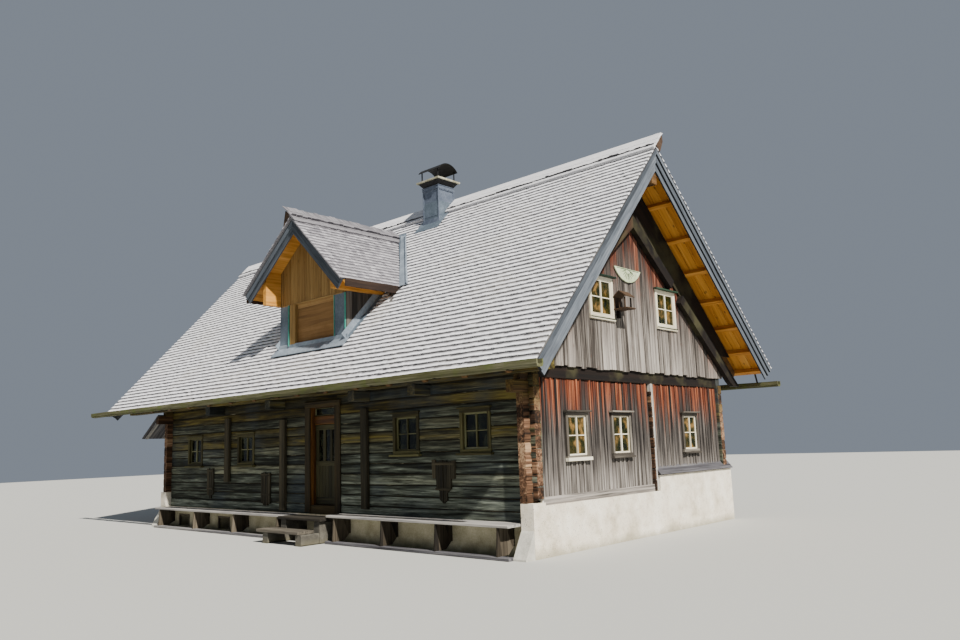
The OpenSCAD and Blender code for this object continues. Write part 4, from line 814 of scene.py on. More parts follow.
# %% Roof boards
pine = timber("pine_board_golden_oiled", "9a5f1a c07f2a d2953c dfaa54", across=26,
              along=1.2, checks=0.15, rough=0.6, bump=0.2, drift=0.12, knots=0.8)
BOARD_TOP, BOARD_UNDER = 0.0603, 0.0853
rnd = random.Random(5)
pile = Pile(19)
for front, length, p in ((True, LEN_F, PITCH_F), (False, LEN_B, PITCH_B)):
    for x0, x1 in spread(rnd, ROOF_X0 + 0.032, BARGE_IN - 0.002, 0.17, 0.215):
        mid = (x0 + x1) / 2
        stops = [(0.0, length - BOARD_UNDER * 1.2)]
        if front and abs(mid - DORMER_X) < DORMER_HALF + 0.01:
            gap = ((0.37 - EAVE_F) / math.cos(p) - 0.03,
                   (meet_y(dormer_z(mid) - 0.12) - EAVE_F) / math.cos(p))
            stops = [(0.0, gap[0]), (max(gap), stops[0][1])]
        if abs(mid - CHIMNEY_X) < CHIMNEY / 2 + 0.12:
            far = CHIMNEY_Y - 0.29 - EAVE_F if front else EAVE_B - CHIMNEY_Y - 0.29
            stops = [(a, min(b, far / math.cos(p))) for a, b in stops]
        for a, b in stops:
            pile.board(on_slope(front, mid, a, -BOARD_TOP), on_slope(front, mid, b, -BOARD_TOP),
                       (1, 0, 0), -slope_frame(front)[3], x1 - x0 - 0.010,
                       BOARD_UNDER - BOARD_TOP, edge=0.005, n=3)
pile.make("soffit_boards", pine, "roof_boards")

# %% [markdown]
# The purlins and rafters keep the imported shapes, which are squared timbers with plain ends.
# Only a finish is added, with its grain along them.

# %% Purlins and rafters
pine_x = timber("pine_beam_orange_brown", "8a5218 b9782a d29440 e0aa5a", across=26,
                along=1.2, checks=0.2, rough=0.65, bump=0.2, source="x")
pine_y = timber("pine_rafter_brown", "2a1c0c 46311a 5f4526 775a39", across=26,
                along=1.2, checks=0.3, rough=0.7, bump=0.3, source="y")
finish_nodes(pine_x, "purlins")
finish_nodes(pine_y, "rafters")
print("finishes on purlins and rafters")

# %% [markdown]
# The gables above the log walls are boarded. All boards end unevenly at their feet or heads,
# with dark gaps between them, so each one is modelled and cut to the slope of the roof. Both
# gables are made by one function, because the left one repeats the right one.

# %% One upright board
LEFT_END = -12.8


def mirror(right):
    """The x coordinate of the same place on the right or the left gable."""
    return lambda x: x if right else LEFT_END - x


def under_roof(y):
    """Where a board ends under the lining of the roof."""
    return under_z(y, 0.207)


def near_any(mid, places, half):
    """Whether a place is nearer than half to any of the places."""
    return any(abs(mid - y) < half for y in places)


def upright(pile, right, y0, y1, z0, z1, x_in, x_out, top=None, gap=0.008, n=6):
    """An upright board on a gable; top is a function of y that gives its upper end."""
    X = mirror(right)
    mid = (y0 + y1) / 2
    peak = top(mid) if top else z1
    if peak - z0 > 0.08:
        head = (lambda u: peak - top(mid + u)) if top else None
        pile.board((X(x_in), mid, z0), (X(x_in), mid, peak), (0, 1, 0),
                   (1 if right else -1, 0, 0), y1 - y0 - gap, x_out - x_in, edge=0.004, n=n,
                   wobble=0.0012, head=head)


print("a board under the ridge ends at", round(under_roof(RIDGE_Y), 2))

# %% [markdown]
# Upstairs wide plain boards hang side by side, grey where the rain reaches them and still red
# brown close under the roof, where the eye expects the shade.

# %% Upper boards
old_up = timber("spruce_board_silver_grey", "2b2622 6b655f 969089 b3ada5", across=75,
                along=1.3, checks=0.8, rough=0.85, bump=0.8, drift=0.20, knots=0.35, span=0.13,
                fades=[(4.00, 4.80, "1d1916 4a4440 736c66 958e86"),
                       (4.95, 5.75, "0c0604 2c140c 522717 7c5240")],
                roofline=(RIDGE_Y + SHIFT[1], 0.45))
UP_WINDOWS, UP_HALF, UP_SILL, UP_HEAD = [2.304, 4.706], 0.400, 4.110, 4.910


def board_up(right, seed):
    """The boards of an upper gable, with room for its two windows."""
    pile, rnd = Pile(seed), random.Random(seed)
    stops = [-0.261, 1.904, 2.704, 4.306, 5.106, 7.121]
    for a, b in zip(stops, stops[1:]):
        for y0, y1 in spread(rnd, a, b, 0.13, 0.23):
            foot = 3.144 + rnd.uniform(-0.020, 0.020)
            thick = -0.006 - rnd.uniform(0.0, 0.009)
            if near_any((y0 + y1) / 2, UP_WINDOWS, UP_HALF):
                upright(pile, right, y0, y1, foot, UP_SILL + 0.002, -0.036, thick)
                upright(pile, right, y0, y1, UP_HEAD - 0.002, None, -0.036, thick, under_roof)
            else:
                upright(pile, right, y0, y1, foot, None, -0.036, thick, under_roof, n=10)
    return pile


board_up(True, 31).make("boards_right_up", old_up, "boarding_right_up")

# %% [markdown]
# Downstairs narrow boards with battens have kept their orange red at the top, under the jetty
# of the upper boards, and are grey and dark below. A sill board closes them at their feet.

# %% Lower boards with battens
old_low = timber("larch_board_weathered_in_bands", "3a3632 69645f 8f8983 b0aaa4",
                 across=75, along=1.2, checks=0.8, rough=0.85, bump=0.8, drift=0.12, span=0.13,
                 fades=[(1.10, 1.70, "141211 2e2a28 4a4643 736c66"),
                        (2.24, 2.84, "110906 38190f 6f3620 a0694a")])
LOW_WINDOWS, LOW_HALF, LOW_SILL, LOW_HEAD = [1.390, 2.814, 5.502], 0.335, 1.535, 2.352


def board_low(right, seed):
    """The boards and battens of a lower gable, on both sides of the cross wall."""
    pile, rnd = Pile(seed), random.Random(seed)
    X = mirror(right)
    for start, end in ((0.320, 3.880), (4.010, 6.830)):
        stepped = right and start > 4
        base = 1.120 if stepped else 0.819
        windows = [y for y in LOW_WINDOWS if start < y < end]
        stops = sorted([start, end] + [y + e for y in windows for e in (-LOW_HALF, LOW_HALF)])
        for a, b in zip(stops, stops[1:]):
            for y0, y1 in spread(rnd, a, b, 0.095, 0.155):
                tip = 2.992 - rnd.uniform(0, 0.055)
                mid = (y0 + y1) / 2
                lean = rnd.uniform(-0.15, 0.15)

                def rounded(y):
                    return tip - 9.0 * (y - mid) ** 2 + lean * (y - mid)

                spans = [(base, None)]
                if near_any(mid, windows, LOW_HALF):
                    spans = [(base, LOW_SILL), (LOW_HEAD, None)]
                for z0, z1 in spans:
                    upright(pile, right, y0, y1, z0, z1, -0.118, -0.090 + rnd.uniform(0, 0.006),
                            rounded if z1 is None else None)
                    # batten over the joint
                    if y1 < b - 0.01 and rnd.random() < 0.85:
                        upright(pile, right, y1 - 0.024, y1 + 0.024, z0, (z1 or tip - 0.03) -
                                rnd.uniform(0, 0.04), -0.089, -0.064, gap=0.0)
        if not stepped:
            pile.beam((X(-0.089), start, base - 0.004), (X(-0.052), end, base + 0.135), "y", n=8,
                      wobble=0.004, tone=0.6)
    return pile


board_low(True, 37).make("boards_right_low", old_low, "boarding_right_low")
settle(join(board_low(False, 43).mesh_object("boards_left", old_low),
            board_up(False, 47).mesh_object("boards_left_up", old_up)), "boarding_left")

# %% [markdown]
# Behind the gaps lies near-black sheathing, painted shade that keeps the gaps dark. It is one board
# layer with its head under the roof, and window openings left free.

# %% Sheathing behind the upper boards
# painted shade: near black, so that the gaps between the boards read as shade
gap_shade_backing = timber("backing_black_painted_gap_shade", "0f0d0b 1c1814 26211b", across=30, along=2, checks=0.3)
pile = Pile(53)
for right in (True, False):
    stops = [-0.250, 1.880, 2.728, 4.282, 5.130, 7.110]
    for a, b in zip(stops, stops[1:]):
        for y0, y1 in spread(random.Random(2), a, b, 0.3, 0.5):
            spans = [(3.16, None)]
            if near_any((y0 + y1) / 2, UP_WINDOWS, 0.42):
                spans = [(3.16, UP_SILL - 0.022), (UP_HEAD + 0.022, None)]
            for z0, z1 in spans:
                upright(pile, right, y0, y1, z0, z1, -0.058, -0.038,
                        None if z1 else lambda y: under_z(y, 0.210), gap=0.0)
pile.make("sheathing", gap_shade_backing, slot="boarding_right_up")

# %% [markdown]
# The walls are hewn logs, each 206 mm high, that cross at the corners and run past them. A log
# is never quite straight, so each is swept in short lengths with a little noise, with a groove
# to the next one. Openings cut the logs, and the stumps are closed at the frames.

# %% One log
COURSE, PLINTH_Z = 0.206, 0.510
GROOVE, GROOVE_H = 0.020, 0.024


def log(pile, along, face, inner, s0, s1, z0, z1, holes=()):
    """One log of a wall, cut at the holes (s0, s1, z0, z1) that reach into it."""
    side = 1 if face > inner else -1
    stops = sorted({s0, s1} | {q for h in holes for q in h[:2]
                               if s0 < q < s1 and h[2] < z1 and h[3] > z0})
    tone, phase = pile.rnd.random(), pile.rnd.uniform(0, 50)
    points, faces, local = [], [], []
    for a, b in zip(stops, stops[1:]):
        spans = [(z0, z1)]
        for h in holes:
            if h[0] < (a + b) / 2 < h[1]:
                spans = [q for lo, hi in spans for q in ((lo, min(hi, h[2])), (max(lo, h[3]), hi))]
        for lo, hi in spans:
            if hi - lo < 0.012:
                continue
            section = [(inner, lo), (inner, hi)]
            section += ([(face - side * GROOVE, hi), (face, hi - GROOVE_H)] if hi == z1 else
                        [(face, hi)])
            section += [(face + side * 0.004, (lo + hi) / 2)]
            section += ([(face, lo + GROOVE_H), (face - side * GROOVE, lo)] if lo == z0 else
                        [(face, lo)])
            n = max(1, round((b - a) / 0.35))
            faces += skin(len(section), n, len(points))
            for k in range(n + 1):
                s = a + (b - a) * k / n
                for i, (f, z) in enumerate(section):
                    if i > 1:
                        f += 0.006 * noise.noise(Vector((s * 0.9 + phase, z * 3, 0)))
                        z += 0.005 * noise.noise(Vector((s * 0.8, z * 9, phase))) * (z0 < z < z1)
                    points.append((s, f, z) if along == "x" else (f, s, z))
                    local.append((s, f, z))
    if points:
        pile.put(points, faces, local, tone)


def level(course):
    """The lower edge of a course of the front and back wall."""
    return PLINTH_Z + COURSE * course


print("courses begin at", level(0))

# %% [markdown]
# The front is cut by four windows and the door, the back by four windows. The wall facing the
# picture is grey brown, with an olive band under the eave that the rain never reaches.

# %% Front and back walls
OPEN_X0, OPEN_X1, OPEN_TOP = -6.280, -5.300, 2.810
FRONT_Y, BACK_Y, WALL_T = 0.150, 7.000, 0.170


def openings(places, z0, z1, half=0.37):
    """Openings of one height around places along a wall."""
    return [(x - half, x + half, z0, z1) for x in places]


FRONT_HOLES = (openings((-1.352, -3.155), 1.700, 2.480) +
               openings((-8.825, -11.252), 1.540, 2.290))
BACK_HOLES = openings((-1.9, -4.5, -8.3, -10.9), 1.840, 2.620)
# the blue grey of the cloudy stain is partly real stain and partly a painted tint of cool sky shade
log_brown = timber("larch_log_hewn_dark_brown", "11130d 363a31 61675c 9ca394", across=30, along=1.5,
                   checks=0.8, rough=0.85, bump=0.9, drift=0.10, span=0.125,
                   stain=("39424a", 0.8, 0.5), fades=[(1.65, 2.75, "0d0a02 272109 443b16 665c2c")])


def x_ends(k):
    """Where a front or back log ends: at the piers low down, at the boards high up."""
    end = -0.270 if k < 2 else -0.044 if k > 11 else -0.020
    return LEFT_END - end, end


for name, lo, hi in (("front_wall_left", -12.9, OPEN_X0), ("front_wall_right", OPEN_X1, 0.1),
                     ("front_wall_over_door", OPEN_X0, OPEN_X1)):
    over = name == "front_wall_over_door"
    pile = Pile(len(name))
    for k in range(15):
        a, b = x_ends(k)
        a, b = max(a, lo), min(b, hi)
        if b - a > 0.05 and not (over and level(k + 1) < OPEN_TOP + 0.01):
            log(pile, "x", FRONT_Y, FRONT_Y + WALL_T, a, b,
                max(level(k), OPEN_TOP) if over else level(k), level(k + 1), FRONT_HOLES)
    pile.make(name + "_logs", log_brown, name)
pile = Pile(71)
for k in range(3, 17):
    log(pile, "x", BACK_Y, BACK_Y - WALL_T, *x_ends(k), level(k), level(k + 1), BACK_HOLES)
pile.make("back_wall_logs", log_brown, "back_wall")

# %% [markdown]
# The gable walls lie half a course higher, as the logs of two walls that cross have to. Where
# the heads of the front and back logs run past them, they are sunburnt and cracked. The heads
# are pieces of their own, each sawn off at its own length.

# %% Gable walls and log heads
log_tan = timber("larch_log_head_sunburnt", "1e140c 4a3322 735641 a18568", across=38,
                 along=1.3, checks=0.8, rough=0.88, bump=0.9, drift=0.22, span=0.14,
                 fades=[(2.4, 3.0, "1a140a 30260f 4a3b1a 60502a")])


def gable_logs(right, seed):
    """The logs of a gable wall and the heads of the logs that cross it."""
    X = mirror(right)
    pile, rnd = Pile(seed), random.Random(seed)
    holes = openings(LOW_WINDOWS, 1.525, 2.363, 0.371) + [(-0.26, -0.044, level(12), 9)]
    for j in range(11):
        z0, z1 = 0.871 if j == 0 else level(1.5 + j), level(2.5 + j)
        y0, y1 = -0.050 if j > 9 else -0.250 if j > 8 else 0.0, 7.150
        lengths = [(y0, y1, z0)]
        if right and j < 2:
            lengths = [(y0, 4.0, z0)] + [(4.0, y1, max(z0, 1.025))] * (z1 > 1.03)
        for a, b, z in lengths:
            log(pile, "y", X(-0.120), X(-0.270), a, b, z, z1, holes)
    # heads of the cross wall's logs, standing in the boarding
    for j in range(10):
        z0 = 0.835 + COURSE * j
        pile.beam((X(-0.120), 3.884, z0 + 0.006),
                  (X(-0.016 - rnd.uniform(0, 0.02)), 3.934, min(z0 + COURSE - 0.008, 2.775)), "x",
                  edge=0.010, wobble=0.004, tone=rnd.uniform(0, 0.3))
    # heads of the front and the back wall's logs
    for y0, y1, first in ((0.147, 0.300, 2), (6.852, 7.003, 3)):
        for k in range(first, 12):
            pile.beam((X(-0.110), y0, level(k) + 0.007),
                      (X(-0.008 - rnd.uniform(0, 0.010)), y1, level(k + 1) - 0.007), "x",
                      edge=0.014, wobble=0.005)
    return pile


gable_logs(True, 73).make("right_wall_logs", log_tan, "right_wall")
gable_logs(False, 79).make("left_wall_logs", log_tan, "left_wall")

# %% [markdown]
# Four ceiling beams and the corbelled gable logs carry the eave purlin in front of the wall. It
# runs the whole length of the house and out under both overhangs.

# %% Beams under the front eave
pile = Pile(83)
for x in (-9.940, -7.300, -4.315, -2.560):
    pile.beam((x - 0.100, -0.250, 2.776), (x + 0.100, 6.830, 2.982), "y", edge=0.014, n=12,
              wobble=0.005)
pile.make("ceiling_beams_hewn", log_brown, "ceiling_beams")
pile = Pile(89)
pile.beam((-14.300, -0.250, 2.982), (0.600, -0.050, 3.190), "x", edge=0.018, n=40, wobble=0.006)
pile.make("eave_purlin", log_brown, "eave_beam")

# %% [markdown]
# The older roof was flatter. Its verge timbers still stand in the gable, dark brown and mossy, and
# painted near black as shade under the overhang: a thick rafter with boards over it, both cut off
# under the roof of today and at the windows.
# The strip of wall between the lower and the upper boards belongs to them.

# %% Verge timbers of the older roof
# painted shade: the near-black shades stand for shade under the roof, over the old timber's own
# dark brown
verge_dark_and_painted_shade = timber("spruce_beam_old_brown_painted_shade_black", "0a0605 170e09 281a12 3b291d",
                    across=40, along=1.4, checks=0.5, rough=0.88, bump=0.6, drift=0.4,
                    stain=("4c4a30", 1.6, 0.5))
OLD_PITCH, OLD_PEAK, OLD_CUTS = math.radians(38), 6.050, 26


def old_verge(pile, X, way, lo, hi, t):
    """A timber between two edges, measured square to the old slope, with a thickness."""
    reach = (RIDGE_Y + 0.725 if way < 0 else 7.930 - RIDGE_Y) / math.cos(OLD_PITCH)
    along = Vector((0, way * math.cos(OLD_PITCH), -math.sin(OLD_PITCH)))
    out = Vector((0, way * math.sin(OLD_PITCH), math.cos(OLD_PITCH)))
    points, faces, local = [], [], []
    for k in range(OLD_CUTS + 1):
        s = reach * k / OLD_CUTS
        for h in (lo, hi):
            back = s if k else -h * math.tan(OLD_PITCH)
            p = Vector((X(0.0), RIDGE_Y, OLD_PEAK)) + along * back + out * h
            p.z = max(min(p.z, under_roof(p.y)), 2.976)
            p.z += 0.004 * noise.noise(Vector((s * 2, h * 9, way)))
            for x in (0.001, t):
                points.append(Vector((X(x), p.y, p.z)))
                local.append((s, h, x))
    for b in range(0, 4 * OLD_CUTS, 4):
        at_window = near_any((points[b].y + points[b + 4].y) / 2, UP_WINDOWS, 0.43)
        if at_window and min(points[b].z, points[b + 4].z) < 4.965:
            continue
        if points[b + 2].z - points[b].z >= 0.01:
            faces += [(b, b + 1, b + 5, b + 4), (b + 1, b + 3, b + 7, b + 5),
                      (b + 3, b + 2, b + 6, b + 7), (b + 2, b, b + 4, b + 6),
                      (b, b + 2, b + 3, b + 1), (b + 4, b + 5, b + 7, b + 6)]
    turn = 1 if (way > 0) == (X(1) > 0) else -1
    pile.put(points, [f[::turn] for f in faces], local)


pile = Pile(97)
for right in (True, False):
    X = mirror(right)
    for way in (-1, 1):
        for edges in ((0.000, 0.215, 0.118), (0.225, 1.300, 0.030)):
            old_verge(pile, X, way, *edges)
    pile.beam((X(-0.270), 0.150, 2.930), (X(-0.056), 6.980, 3.160), "y", n=12, wobble=0.004,
              tone=0.2)
verge = pile.mesh_object("verge_timbers", verge_dark_and_painted_shade)
work = bmesh.new()
work.from_mesh(verge.data)
bmesh.ops.delete(work, geom=[v for v in work.verts if not v.link_faces], context="VERTS")
work.to_mesh(verge.data)
work.free()
settle(verge, "verge_rafters")

# %% [markdown]
# The joints of the logs are stuffed with moss and oakum, which draws thin pale lines along the
# wall; their near-black strips are painted shade of the grooves. Pale newer boards close the
# corner and the cross wall of each gable.

# %% Joints and pale boards
# painted shade: the near-black stops stand for the shade in the grooves, the pale one for the oakum
joint_moss_and_shade = timber("moss_in_joints_and_painted_groove_shade", "0b0a08 16140f 2a2619 a39f86", across=30,
               along=3.2, checks=0.2, rough=0.95, bump=0.5, drift=0.0)
pile = Pile(103)
for y, back, holes, first in (
        (FRONT_Y - 0.0015, FRONT_Y + 0.0185,
         FRONT_HOLES + [(OPEN_X0 - 0.14, OPEN_X1 + 0.14, 0, 2.86)], 0),
        (BACK_Y + 0.0015, BACK_Y - 0.0185, BACK_HOLES, 3)):
    for z in map(level, range(first + 1, 16)):
        stops = sorted([-12.75, -0.06] + [q for h in holes if h[2] - 0.05 < z < h[3] + 0.04
                                          for q in (h[0] - 0.06, h[1] + 0.06)])
        for a, b in zip(stops[::2], stops[1::2]):
            pile.beam((a, y, z - 0.009), (b, back, z + 0.008), "x", n=int((b - a) / 0.3) + 1,
                      wobble=0.006, edge=0.004)
pile.make("joint_strips_moss_and_shade", joint_moss_and_shade, slot="front_wall_left")
pale = timber("spruce_board_pale_grey", "8a8680 b0aca5 cbc8c1 e2dfd9", across=60,
              along=1.6, checks=0.6, rough=0.85, bump=0.5, drift=0.2)
pile = Pile(107)
for X in (mirror(True), mirror(False)):
    pile.beam((X(-0.112), 0.301, 0.850), (X(-0.046), 0.338, 2.930), "z", n=8, wobble=0.003)
    pile.beam((X(-0.118), 3.936, 0.835), (X(-0.030), 4.006, 2.930), "z", n=8, wobble=0.004)
pile.make("pale_corner_boards", pale, slot="right_wall")

# %% [markdown]
# The windows are small casements with a middle stile and one bar. Downstairs in the gable the
# outer casing is raw wood gone dark and only the sashes are painted cream. Upstairs frame and
# sashes are cream, with a dark green hood and sill. Those of the front and the back are stained
# brown, with sashes of a worn olive.

# %% Finishes of the windows
cream = timber("spruce_sash_cream_paint_worn", "a89f86 d2cab2 e2dbc6 ece7d6",
               across=30, along=2, checks=0.25, rough=0.5, bump=0.25, drift=0.2)
casing = timber("larch_casing_dark_weathered", "211e1a 413c36 5f5a52 837d73",
                across=60, along=2, checks=0.6, rough=0.85, bump=0.6)
sash_olive = timber("spruce_sash_olive_beige", "35341f 525034 6c6c4c 86866a",
                    across=40, along=2, checks=0.3, rough=0.65, bump=0.3)
olive = timber("spruce_casing_brown_stained", "1a180c 36321a 4c482a 63603c",
               across=60, along=2, checks=0.4, rough=0.75, bump=0.4)
green = timber("spruce_board_bottle_green_paint", "0d1a13 16291e 21382a 33493a",
               across=40, along=2, checks=0.2, rough=0.55, bump=0.2)
print("five finishes for the windows")

# %% [markdown]
# Old glass is faintly rippled, glossy and half clear. What the room behind it shows is drawn
# as clouds of colour: an ochre curtain in the gables, mixed with dark green painted reflection,
# and a dark room in front and back, where no light falls through.

# %% Glass
def window_glass(name, shades):
    """Old glass in the shades that the room behind it shows, and any painted reflection among them.
    """
    m, tree, surface = new_material(name)
    place = add(tree, "ShaderNodeTexCoord").outputs["Object"]
    ripple = add(tree, "ShaderNodeTexNoise", {"Vector": place, "Scale": 5.0, "Detail": 2.0})
    colour = add(tree, "ShaderNodeValToRGB", {"Fac": ripple}, shades, low=0.36, high=0.66)
    tree.links.new(colour.outputs[0], surface.inputs["Base Color"])
    surface.inputs["Roughness"].default_value = 0.06
    surface.inputs["Alpha"].default_value = 0.72
    surface.inputs["Specular IOR Level"].default_value = 0.35
    relief = add(tree, "ShaderNodeBump", {"Height": ripple, "Strength": 0.05})
    tree.links.new(relief.outputs[0], surface.inputs["Normal"])
    return m


# painted reflection: the dark green stops stand for reflections, the ochre ones for a curtain
glass = window_glass("window_glass_ochre_curtain_and_painted_reflection", "12160d 25280f 453a1b 85683a")
shade_glass = window_glass("window_glass_dark_room", "090b08 10130d 1b1e15 34382a")
print("two kinds of glass")

# %% [markdown]
# Every window is made of bars: four for the casing, four for the sashes, the stile and a bar in
# each leaf. One class holds where a window is and which way it looks, so that the same few
# lines build all of them.

# %% A window
UP, FRONT = Vector((0, 0, 1)), (0, -1, 0)


class Opening:
    """A window seen from outside: u along the wall, v out of it, z up, from its foot's middle."""

    def __init__(self, origin, across, out):
        self.o, self.a, self.n = Vector(origin), Vector(across), Vector(out)

    def bar(self, pile, u0, u1, z0, z1, v0, v1, axis="u", **more):
        """A bar between u0 and u1, z0 and z1, v0 and v1, with its grain along u or z."""
        start = self.o + self.n * v0
        if axis == "u":
            start += self.a * u0 + UP * ((z0 + z1) / 2)
            pile.board(start, start + self.a * (u1 - u0), UP, self.n, z1 - z0, v1 - v0, **more)
        else:
            start += self.a * ((u0 + u1) / 2) + UP * z0
            pile.board(start, start + UP * (z1 - z0), self.a, self.n, u1 - u0, v1 - v0, **more)

    def ring(self, pile, half, z0, z1, wide, v0, v1):
        """Four bars around the window."""
        self.bar(pile, -half, half, z1 - wide, z1, v0, v1)
        self.bar(pile, -half, half, z0, z0 + wide, v0, v1)
        for u in (-half, half - wide):
            self.bar(pile, u, u + wide, z0 + wide, z1 - wide, v0, v1, "z")

    def glaze(self, pile, half, z0, z1, v):
        """A pane, 4 mm thick."""
        pile.loft([[self.o + self.a * u + UP * z + self.n * d
                    for u, z in ((-half, z0), (half, z0), (half, z1), (-half, z1))]
                   for d in (v - 0.004, v)])

    def sashes(self, pile, glasses, half, z0, z1, v, stile=0.030):
        """Two leaves with a bar each, and their panes."""
        self.ring(pile, half, z0, z1, stile, v - 0.040, v)
        self.bar(pile, -0.015, 0.015, z0 + stile, z1 - stile, v - 0.040, v + 0.006, "z")
        mid = (z0 + z1) / 2
        for s in (-1, 1):
            self.bar(pile, *sorted((s * 0.014, s * (half - stile + 0.002))), mid - 0.009,
                     mid + 0.009, v - 0.028, v - 0.006, edge=0.002)
        lap = stile - 0.004
        self.glaze(glasses, half - lap, z0 + lap, z1 - lap, v - 0.020)


print("a window can be built")

# %% [markdown]
# The gables have three small windows downstairs and two upstairs. A pile for each finish
# gathers the bars of all windows.

# %% Windows of the gables
cream_p, dark_p, olive_p, green_p, glass_p, sash_p, shade_p = (Pile(101 + i) for i in range(7))
for right in (True, False):
    X = mirror(right)
    out = (1 if right else -1, 0, 0)
    for i, y in enumerate(LOW_WINDOWS):
        w = Opening((X(-0.060), y, 0), (0, 1, 0), out)
        w.ring(dark_p, LOW_HALF, LOW_SILL, LOW_HEAD, 0.062, -0.150, 0.016)
        w.sashes(cream_p, glass_p, LOW_HALF - 0.060, LOW_SILL + 0.060, LOW_HEAD - 0.060, -0.010)
        w.bar(dark_p, -LOW_HALF - 0.035, LOW_HALF + 0.035, LOW_HEAD, LOW_HEAD + 0.030, -0.020,
              0.075)
        w.bar(cream_p if i == 0 else dark_p, -LOW_HALF - 0.020, LOW_HALF + 0.020,
              LOW_SILL - 0.030, LOW_SILL + (0.028 if i == 0 else 0.004), -0.020, 0.055)
    for y in UP_WINDOWS:
        w = Opening((X(0.0), y, 0), (0, 1, 0), out)
        w.ring(cream_p, UP_HALF, UP_SILL, UP_HEAD, 0.058, -0.085, 0.012)
        w.sashes(cream_p, glass_p, UP_HALF - 0.056, UP_SILL + 0.056, UP_HEAD - 0.056, -0.004,
                 0.036)
        for pile, half, z0, z1, v0, v1 in (
                (green_p, UP_HALF + 0.045, UP_HEAD + 0.002, UP_HEAD + 0.030, -0.010, 0.080),
                (cream_p, UP_HALF + 0.010, UP_SILL - 0.036, UP_SILL - 0.002, -0.010, 0.030),
                (green_p, UP_HALF, UP_SILL - 0.002, UP_SILL + 0.010, 0.012, 0.045)):
            w.bar(pile, -half, half, z0, z1, v0, v1)
print("gable windows:", len(glass_p.points) // 8, "panes")

# %% [markdown]
# Front and back have four windows each. Over the door a low pane lets light in.

# %% Windows of the front and the back
for holes, wall, out in ((FRONT_HOLES, FRONT_Y, FRONT), (BACK_HOLES, BACK_Y, (0, 1, 0))):
    for x0, x1, z0, z1 in holes:
        w = Opening(((x0 + x1) / 2, wall, 0), (1, 0, 0), out)
        w.ring(olive_p, 0.368, z0, z1, 0.070, -0.110, 0.022)
        w.sashes(sash_p, shade_p, 0.300, z0 + 0.068, z1 - 0.068, -0.030, 0.034)
        w.bar(olive_p, -0.420, 0.420, z0 - 0.034, z0 + 0.006, -0.010, 0.085)
        w.bar(olive_p, -0.400, 0.400, z1, z1 + 0.028, 0.000, 0.055)
DOOR_X = -5.790
w = Opening((DOOR_X, 0.285, 0), (1, 0, 0), FRONT)
w.ring(sash_p, 0.425, 2.575, 2.745, 0.022, -0.020, 0.020)
w.glaze(shade_p, 0.400, 2.600, 2.722, 0.002)
cream_p.make("sashes_cream", cream, "window_frames")
for pile, name, finish in ((dark_p, "casings_dark", casing), (olive_p, "casings_brown", olive),
                           (green_p, "hoods_green", green), (sash_p, "sashes_olive", sash_olive)):
    pile.make(name, finish, slot="window_frames")
glass_p.make("panes_old_glass", glass, "panes")
shade_p.make("panes_in_shade", shade_glass, slot="panes")

# %% [markdown]
# The doorway is trimmed with planed pine that has darkened to a red brown; the boards around it
# have turned olive. Two forged pins on plates carry the leaf.

# %% Door frame with the hinge pins
red_pine = timber("pine_door_frame_red_brown", "1f1208 50300f 775021 946f3a",
                  across=40, along=1.6, checks=0.3, rough=0.6, bump=0.3, drift=0.2, knots=0.3)
trim_wood = timber("larch_door_trim_olive_brown", "12100a 2a2314 40351f 594b2e",
                   across=40, along=1.6, checks=0.5, rough=0.8, bump=0.4, drift=0.2)
iron = mineral("iron_black_forged", "16140f 2a2620 4a3626", 30, 0.3, 0.6, 0.7)
HINGE_X, HINGE_Y, LEAF_Z, LEAF_H, LEAF_W = -6.210, 0.344, 0.700, 1.680, 0.840
HINGES = [LEAF_Z + 0.250, LEAF_Z + 1.400]


def pin(pile, z0, z1, r, sides=24):
    """An upright pin or barrel on the axis of the hinges, with eased ends."""
    e = min(0.002, r * 0.3)
    turns = [math.tau * i / sides for i in range(sides)]
    pile.loft([[(HINGE_X + q * math.cos(a), HINGE_Y + q * math.sin(a), z) for a in turns]
               for z, q in ((z0, r - e), (z0 + e, r), (z1 - e, r), (z1, r - e))])


pile, trim, plates = Pile(111), Pile(112), Pile(113)
trim.beam((OPEN_X0, 0.146, 0.512), (OPEN_X1, 0.318, 0.690), "x", n=3, wobble=0.003)
for s in (-1, 1):
    pile.beam((DOOR_X + s * 0.430, 0.151, 0.690), (DOOR_X + s * 0.489, 0.319, 2.809), "z", n=4)
    pile.beam((DOOR_X + s * 0.416, 0.190, 0.690), (DOOR_X + s * 0.431, 0.249, 2.570), "z")
    trim.beam((DOOR_X + s * 0.432, 0.118, 0.542), (DOOR_X + s * 0.620, 0.149, 2.750), "z",
              edge=0.010, n=6, wobble=0.003)
pile.beam((OPEN_X0, 0.251, 2.391), (OPEN_X1, 0.319, 2.570), "x")
pile.beam((OPEN_X0 + 0.06, 0.236, 2.400), (OPEN_X1 - 0.06, 0.252, 2.560), "x", edge=0.008)
pile.beam((OPEN_X0, 0.151, 2.751), (OPEN_X1, 0.319, 2.809), "x")
trim.beam((OPEN_X0 - 0.130, 0.118, 2.752), (OPEN_X1 + 0.130, 0.149, 2.850), "x", edge=0.010)
trim.beam((OPEN_X0 - 0.150, 0.090, 2.850), (OPEN_X1 + 0.150, 0.150, 2.874), "x")
for z in HINGES:
    for y, x in ((0.320, HINGE_X - 0.020), (0.334, HINGE_X)):
        plates.beam((HINGE_X - 0.080, y, z - 0.014), (x, 0.354, z), "x", edge=0.002)
for z in HINGES:
    pin(plates, z - 0.014, z, 0.014)
    pin(plates, z - 0.008, z + 0.070, 0.008)
settle(join(join(pile.mesh_object("door_frame_boards", red_pine),
                 trim.mesh_object("door_trim", trim_wood)),
            plates.mesh_object("hinge_plates", iron)), "door_frame")

# %% [markdown]
# The leaf is made of wide upright boards behind a frame, with three narrow panes in its upper
# half, and swings inwards. It is grey olive from wear and old stain.

